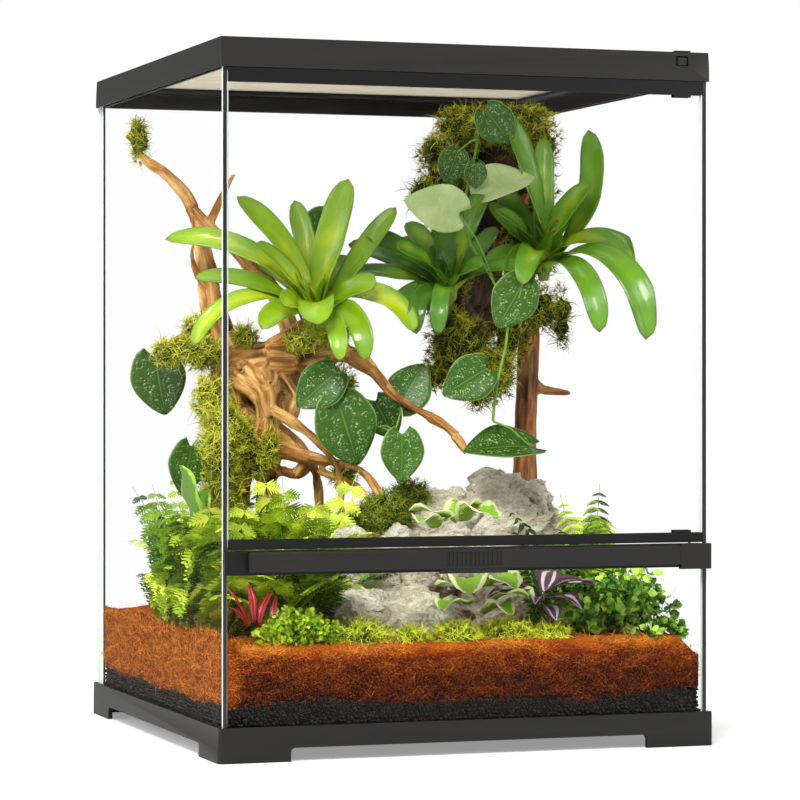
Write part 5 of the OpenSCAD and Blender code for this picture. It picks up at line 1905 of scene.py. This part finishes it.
def woods() -> list:
    """The two woods."""
    golden = RootWood("golden_wood", "2c1606", "a2682a", "ecc078")
    post = RootWood("post_wood", "2c150a", "84502a", "c28c58")
    bark = RootWood("dark_bark", "0a0705", "2a1b10", "64422a")
    left = list(LEFT_ROUTES.values()) + [
        [(-142, 92, 400, 6), (-160, 84, 420, 4), (-168, 82, 436, 3), (-166, 80, 452, 2)],
        [(-150, 88, 380, 5), (-172, 96, 366, 4), (-188, 98, 356, 3)],
        [(-118, 58, 300, 8), (-84, 40, 272, 7), (-66, 34, 250, 6), (-78, 38, 232, 5),
         (-92, 44, 240, 6)],
        [(-104, 40, 352, 9), (-88, 26, 366, 7), (-74, 20, 378, 6)],
        [(-90, 36, 330, 12), (-80, 30, 312, 10), (-84, 40, 290, 8)],
        [(-124, 50, 330, 16), (-112, 34, 316, 12), (-108, 34, 290, 9), (-112, 40, 262, 8)],
        [(-112, 36, 300, 7), (-86, 16, 286, 5), (-60, 6, 262, 4), (-44, 0, 232, 3),
         (-46, 2, 200, 3)],
        [(-140, 70, 330, 9), (-150, 58, 316, 8), (-148, 54, 290, 9), (-136, 56, 262, 10)],
        [(-60, 22, 352, 7), (-52, 6, 362, 5), (-40, -4, 372, 3)],
        [(-64, 20, 240, 4), (-30, 0, 226, 3), (-14, -10, 204, 3)]]
    knots = [[(165, 60, 470, 7), (150, 36, 486, 7), (128, 30, 498, 6), (118, 34, 510, 5)],
             [(158, 40, 480, 6), (140, 26, 470, 6), (122, 30, 458, 6), (112, 36, 440, 5)],
             [(150, 34, 500, 5), (140, 28, 486, 6), (132, 30, 464, 5)]]
    return [
        Wood("left_root_wood", left, golden, "left_driftwood", "driftwood", 1.9, 1.9, 4.6),
        Wood("right_post_wood", [RIGHT_POST] + RIGHT_STUBS, post, "", "driftwood", 2.0, 0.8,
             1.2),
        Wood("right_knots", knots, RootWood("red_root", "2a0f08", "8a4226", "c47a50"), "",
             "driftwood", 1.8, 1.2, 2.4),
        Wood("right_bark_log", [RIGHT_TRUNK], bark, "right_log", "dark_wood", 2.6, 2.0, 4.0)]


def mosses() -> list:
    """Every moss."""
    left = MossTuft("wood_moss", "2c2a08", "8f961e", "dedc48")
    right = MossTuft("log_moss", "0e1008", "56600e", "c8c42e")
    floor = MossTuft("floor_moss", "2c3c0c", "98ae1a", "e2ea44")
    dark = MossTuft("ridge_moss", "10160a", "4c5c18", "98a62c")
    return [
        Moss("left_moss", LEFT_TUFTS + LEFT_MORE, "left_wood_moss", left, 9000, 7.5, 21, 0.7),
        Moss("right_moss", RIGHT_TUFTS + RIGHT_MORE, "right_log_moss", right, 10500, 8.0, 22, 0.6),
        Moss("ground_moss_mat", GROUND_TUFTS, "ground_moss", floor, 8000, 6.5, 23, 0.5),
        Moss("ridge_moss_mat", RIDGE_TUFTS, "", dark, 2600, 7.0, 24, 0.6)]


def rosettes() -> list:
    """The three bromeliads, with the shorter leaves that fill them."""
    lime = StrapLeaf("lime_strap", "d8dc1c", "7aa80a", "34700c")
    green = StrapLeaf("green_strap", "c2d028", "559010", "265a0c")
    shaded = StrapLeaf("shaded_strap", "a4c024", "3f7a12", "1a470c")
    return [
        Rosette("lime_rosette", "left", lime, [
            (40, 80, 20, 96, 20), (125, 75, 10, 110, 20), (-50, 66, 0, 84, 22),
            (-135, 55, -20, 80, 22), (-170, 74, 30, 104, 20), (75, 82, 50, 100, 18)]),
        Rosette("high_rosette", "right", green, [
            (30, 80, 30, 90, 18), (-100, 66, 0, 76, 18), (140, 78, 40, 96, 18),
            (-30, 84, 40, 96, 20), (-150, 70, 10, 90, 16)]),
        Rosette("shaded_rosette", "centre", shaded, [
            (60, 80, 40, 90, 16), (-80, 62, -10, 74, 18), (-150, 66, 0, 92, 18),
            (175, 64, 10, 104, 18), (120, 76, 30, 96, 16)])]


def climbers() -> list:
    """The two vines."""
    return [
        Vine("right_climber", "right_vine", [RIGHT_STEM],
             list(zip(RIGHT_LEAVES, RIGHT_STEM)), (3, 4)),
        Vine("left_climber", "left_vine", [LEFT_STEM, REAR_STEM],
             list(zip(LEFT_LEAVES, LEFT_STEM)) + list(zip(REAR_LEAVES, [
                 REAR_STEM[2], (-158, 62, 272), (-60, 40, 380), (-70, 40, 376)])))]


def undergrowth() -> list:
    """Ferns, bush, mound and small leaves."""
    bright = ThinLeaf("bright_fern", "3c5a0a", "96bc14", "eaf45c")
    fresh = ThinLeaf("fresh_fern", "20460e", "68a01c", "c6e04c")
    deep = ThinLeaf("deep_fern", "143a0c", "4f9420", "c2e25a")
    return [
        Ferns("left_fern_fronds", "left_ferns", bright, [
            Clump((-160, -60, 97), 22, 150, 56, 83, 5), Clump((-164, 10, 97), 18, 160, 56, 85, 16),
            Clump((-132, -125, 97), 18, 108, 48, 77, 0),
            Clump((-108, -60, 97), 20, 142, 56, 87, 20),
            Clump((-140, -20, 97), 16, 146, 54, 85, 20),
            Clump((-180, -90, 97), 14, 105, 48, 78, -5),
            Clump((-192, -46, 97), 12, 88, 44, 72, -15),
            Clump((-194, 24, 97), 12, 104, 46, 74, -10),
            Clump((-98, -40, 97), 8, 158, 56, 88, 40), Clump((-190, 84, 97), 9, 112, 44, 76, 0)],
            9, 0.42, 4, 5),
        Ferns("left_fine_fronds", "", fresh, [
            Clump((-180, 60, 97), 15, 168, 44, 84, 22), Clump((-172, 120, 97), 13, 156, 44, 83, 16),
            Clump((-186, -30, 97), 12, 135, 40, 80, 8), Clump((-80, -80, 97), 12, 112, 38, 80, 14),
            Clump((-150, 110, 97), 10, 135, 40, 82, 16), Clump((-184, 40, 97), 4, 180, 34, 89, 60)],
            12, 0.4, 14, 4),
        Ferns("right_fern_fronds", "right_ferns", fresh, [
            Clump((146, 125, 97), 12, 118, 36, 80, 25), Clump((184, 61, 97), 14, 128, 36, 86, 35),
            Clump((180, -55, 97), 14, 132, 38, 88, 40), Clump((150, -70, 97), 12, 122, 38, 88, 40),
            Clump((190, -50, 97), 3, 120, 36, 89, 72), Clump((206, 0, 97), 3, 118, 34, 89, 74),
            Clump((168, -80, 97), 3, 112, 32, 89, 70), Clump((102, -116, 97), 5, 108, 34, 86, 30),
            Clump((120, 20, 97), 10, 110, 36, 84, 30)],
            15, 0.2, 9),
        LeafMound("small_leaf_bush", "leafy_bush", deep, [
            (140, -150, 112, 26, 18), (172, -152, 120, 30, 24), (194, -140, 128, 20, 26),
            (150, -124, 124, 24, 20), (186, -112, 132, 22, 24), (128, -160, 106, 18, 12),
            (196, -192, 98, 17, 13), (172, -196, 94, 16, 10), (204, -176, 112, 12, 18)],
            1350, 7.6, 31, fullness=0.85),
        LeafMound("bright_mound", "", ThinLeaf("bright_leaf", "467c0c", "9cc414", "e2f44c"), [
            (-146, -182, 104, 26, 24), (-122, -180, 101, 18, 17), (-166, -184, 101, 15, 15)],
            1500, 4.6, 32),
        Blades("striped_leaves", "striped_plant",
               BandedLeaf("striped_leaf", "5d3a4c", "e4d8d8"), [
                   (96, -150, 132, 10, 30, -20, 56, 25), (98, -150, 134, 60, 40, 0, 48, 22),
                   (92, -150, 130, 150, 30, -10, 52, 24), (90, -152, 130, 190, 25, -25, 54, 22),
                   (96, -154, 128, -60, 20, -40, 44, 22), (96, -152, 134, -20, 35, -20, 56, 24),
                   (92, -156, 126, -120, 30, -30, 40, 20), (94, -156, 122, -90, 10, -50, 34, 20)],
               "striped_leaf"),
        Blades("bordered_leaves", "", BandedLeaf("bordered_leaf", "86b62c", "f0f4b8", 0.66), [
            (16, -140, 196, 160, 40, -10, 44, 34), (6, -140, 198, 20, 50, -30, 44, 36),
            (22, -142, 198, -60, 50, -40, 44, 38), (-4, -138, 192, -130, 50, -30, 36, 28),
            (18, -152, 140, -100, 50, -60, 42, 40), (40, -150, 140, -70, 50, -50, 46, 40),
            (22, -152, 124, -150, 30, -40, 36, 32), (40, -152, 116, -60, 50, -50, 34, 28),
            (30, -150, 132, 170, 50, -20, 38, 32), (50, -152, 128, -40, 40, -40, 38, 32)],
            "striped_leaf", True),
        Blades("pup_leaves", "", BandedLeaf("pup_leaf", "5f8a1e", "a8c84c", 0.7), [
            (-186, 10, 192, 200, 89, 62, 56, 26), (-180, 4, 196, 60, 84, 30, 34, 18),
            (-196, -50, 96, 160, 70, 10, 30, 20)],
            "vine_leaf", True),
        Blades("red_leaves", "", BandedLeaf("red_leaf", "a3202c", "e84a50"), [
            (-184, -160, 112, 150, 80, 40, 38, 8), (-176, -158, 112, 100, 85, 60, 36, 8),
            (-172, -160, 110, 40, 80, 30, 38, 8), (-184, -164, 110, -140, 60, 10, 32, 7),
            (-160, -158, 108, 60, 75, 40, 34, 7), (-168, -162, 106, -30, 70, 20, 30, 7)],
            "striped_leaf")]


def main() -> None:
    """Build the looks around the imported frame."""
    logging.basicConfig(level=logging.INFO, format="%(message)s")
    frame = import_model()
    box = [Shell(frame), MeshCover(frame), Ground(frame), Stone(frame)]
    for part in box + woods() + mosses() + rosettes() + climbers() + undergrowth():
        part.build()
    Studio().build()


if __name__ == "__main__":
    main()
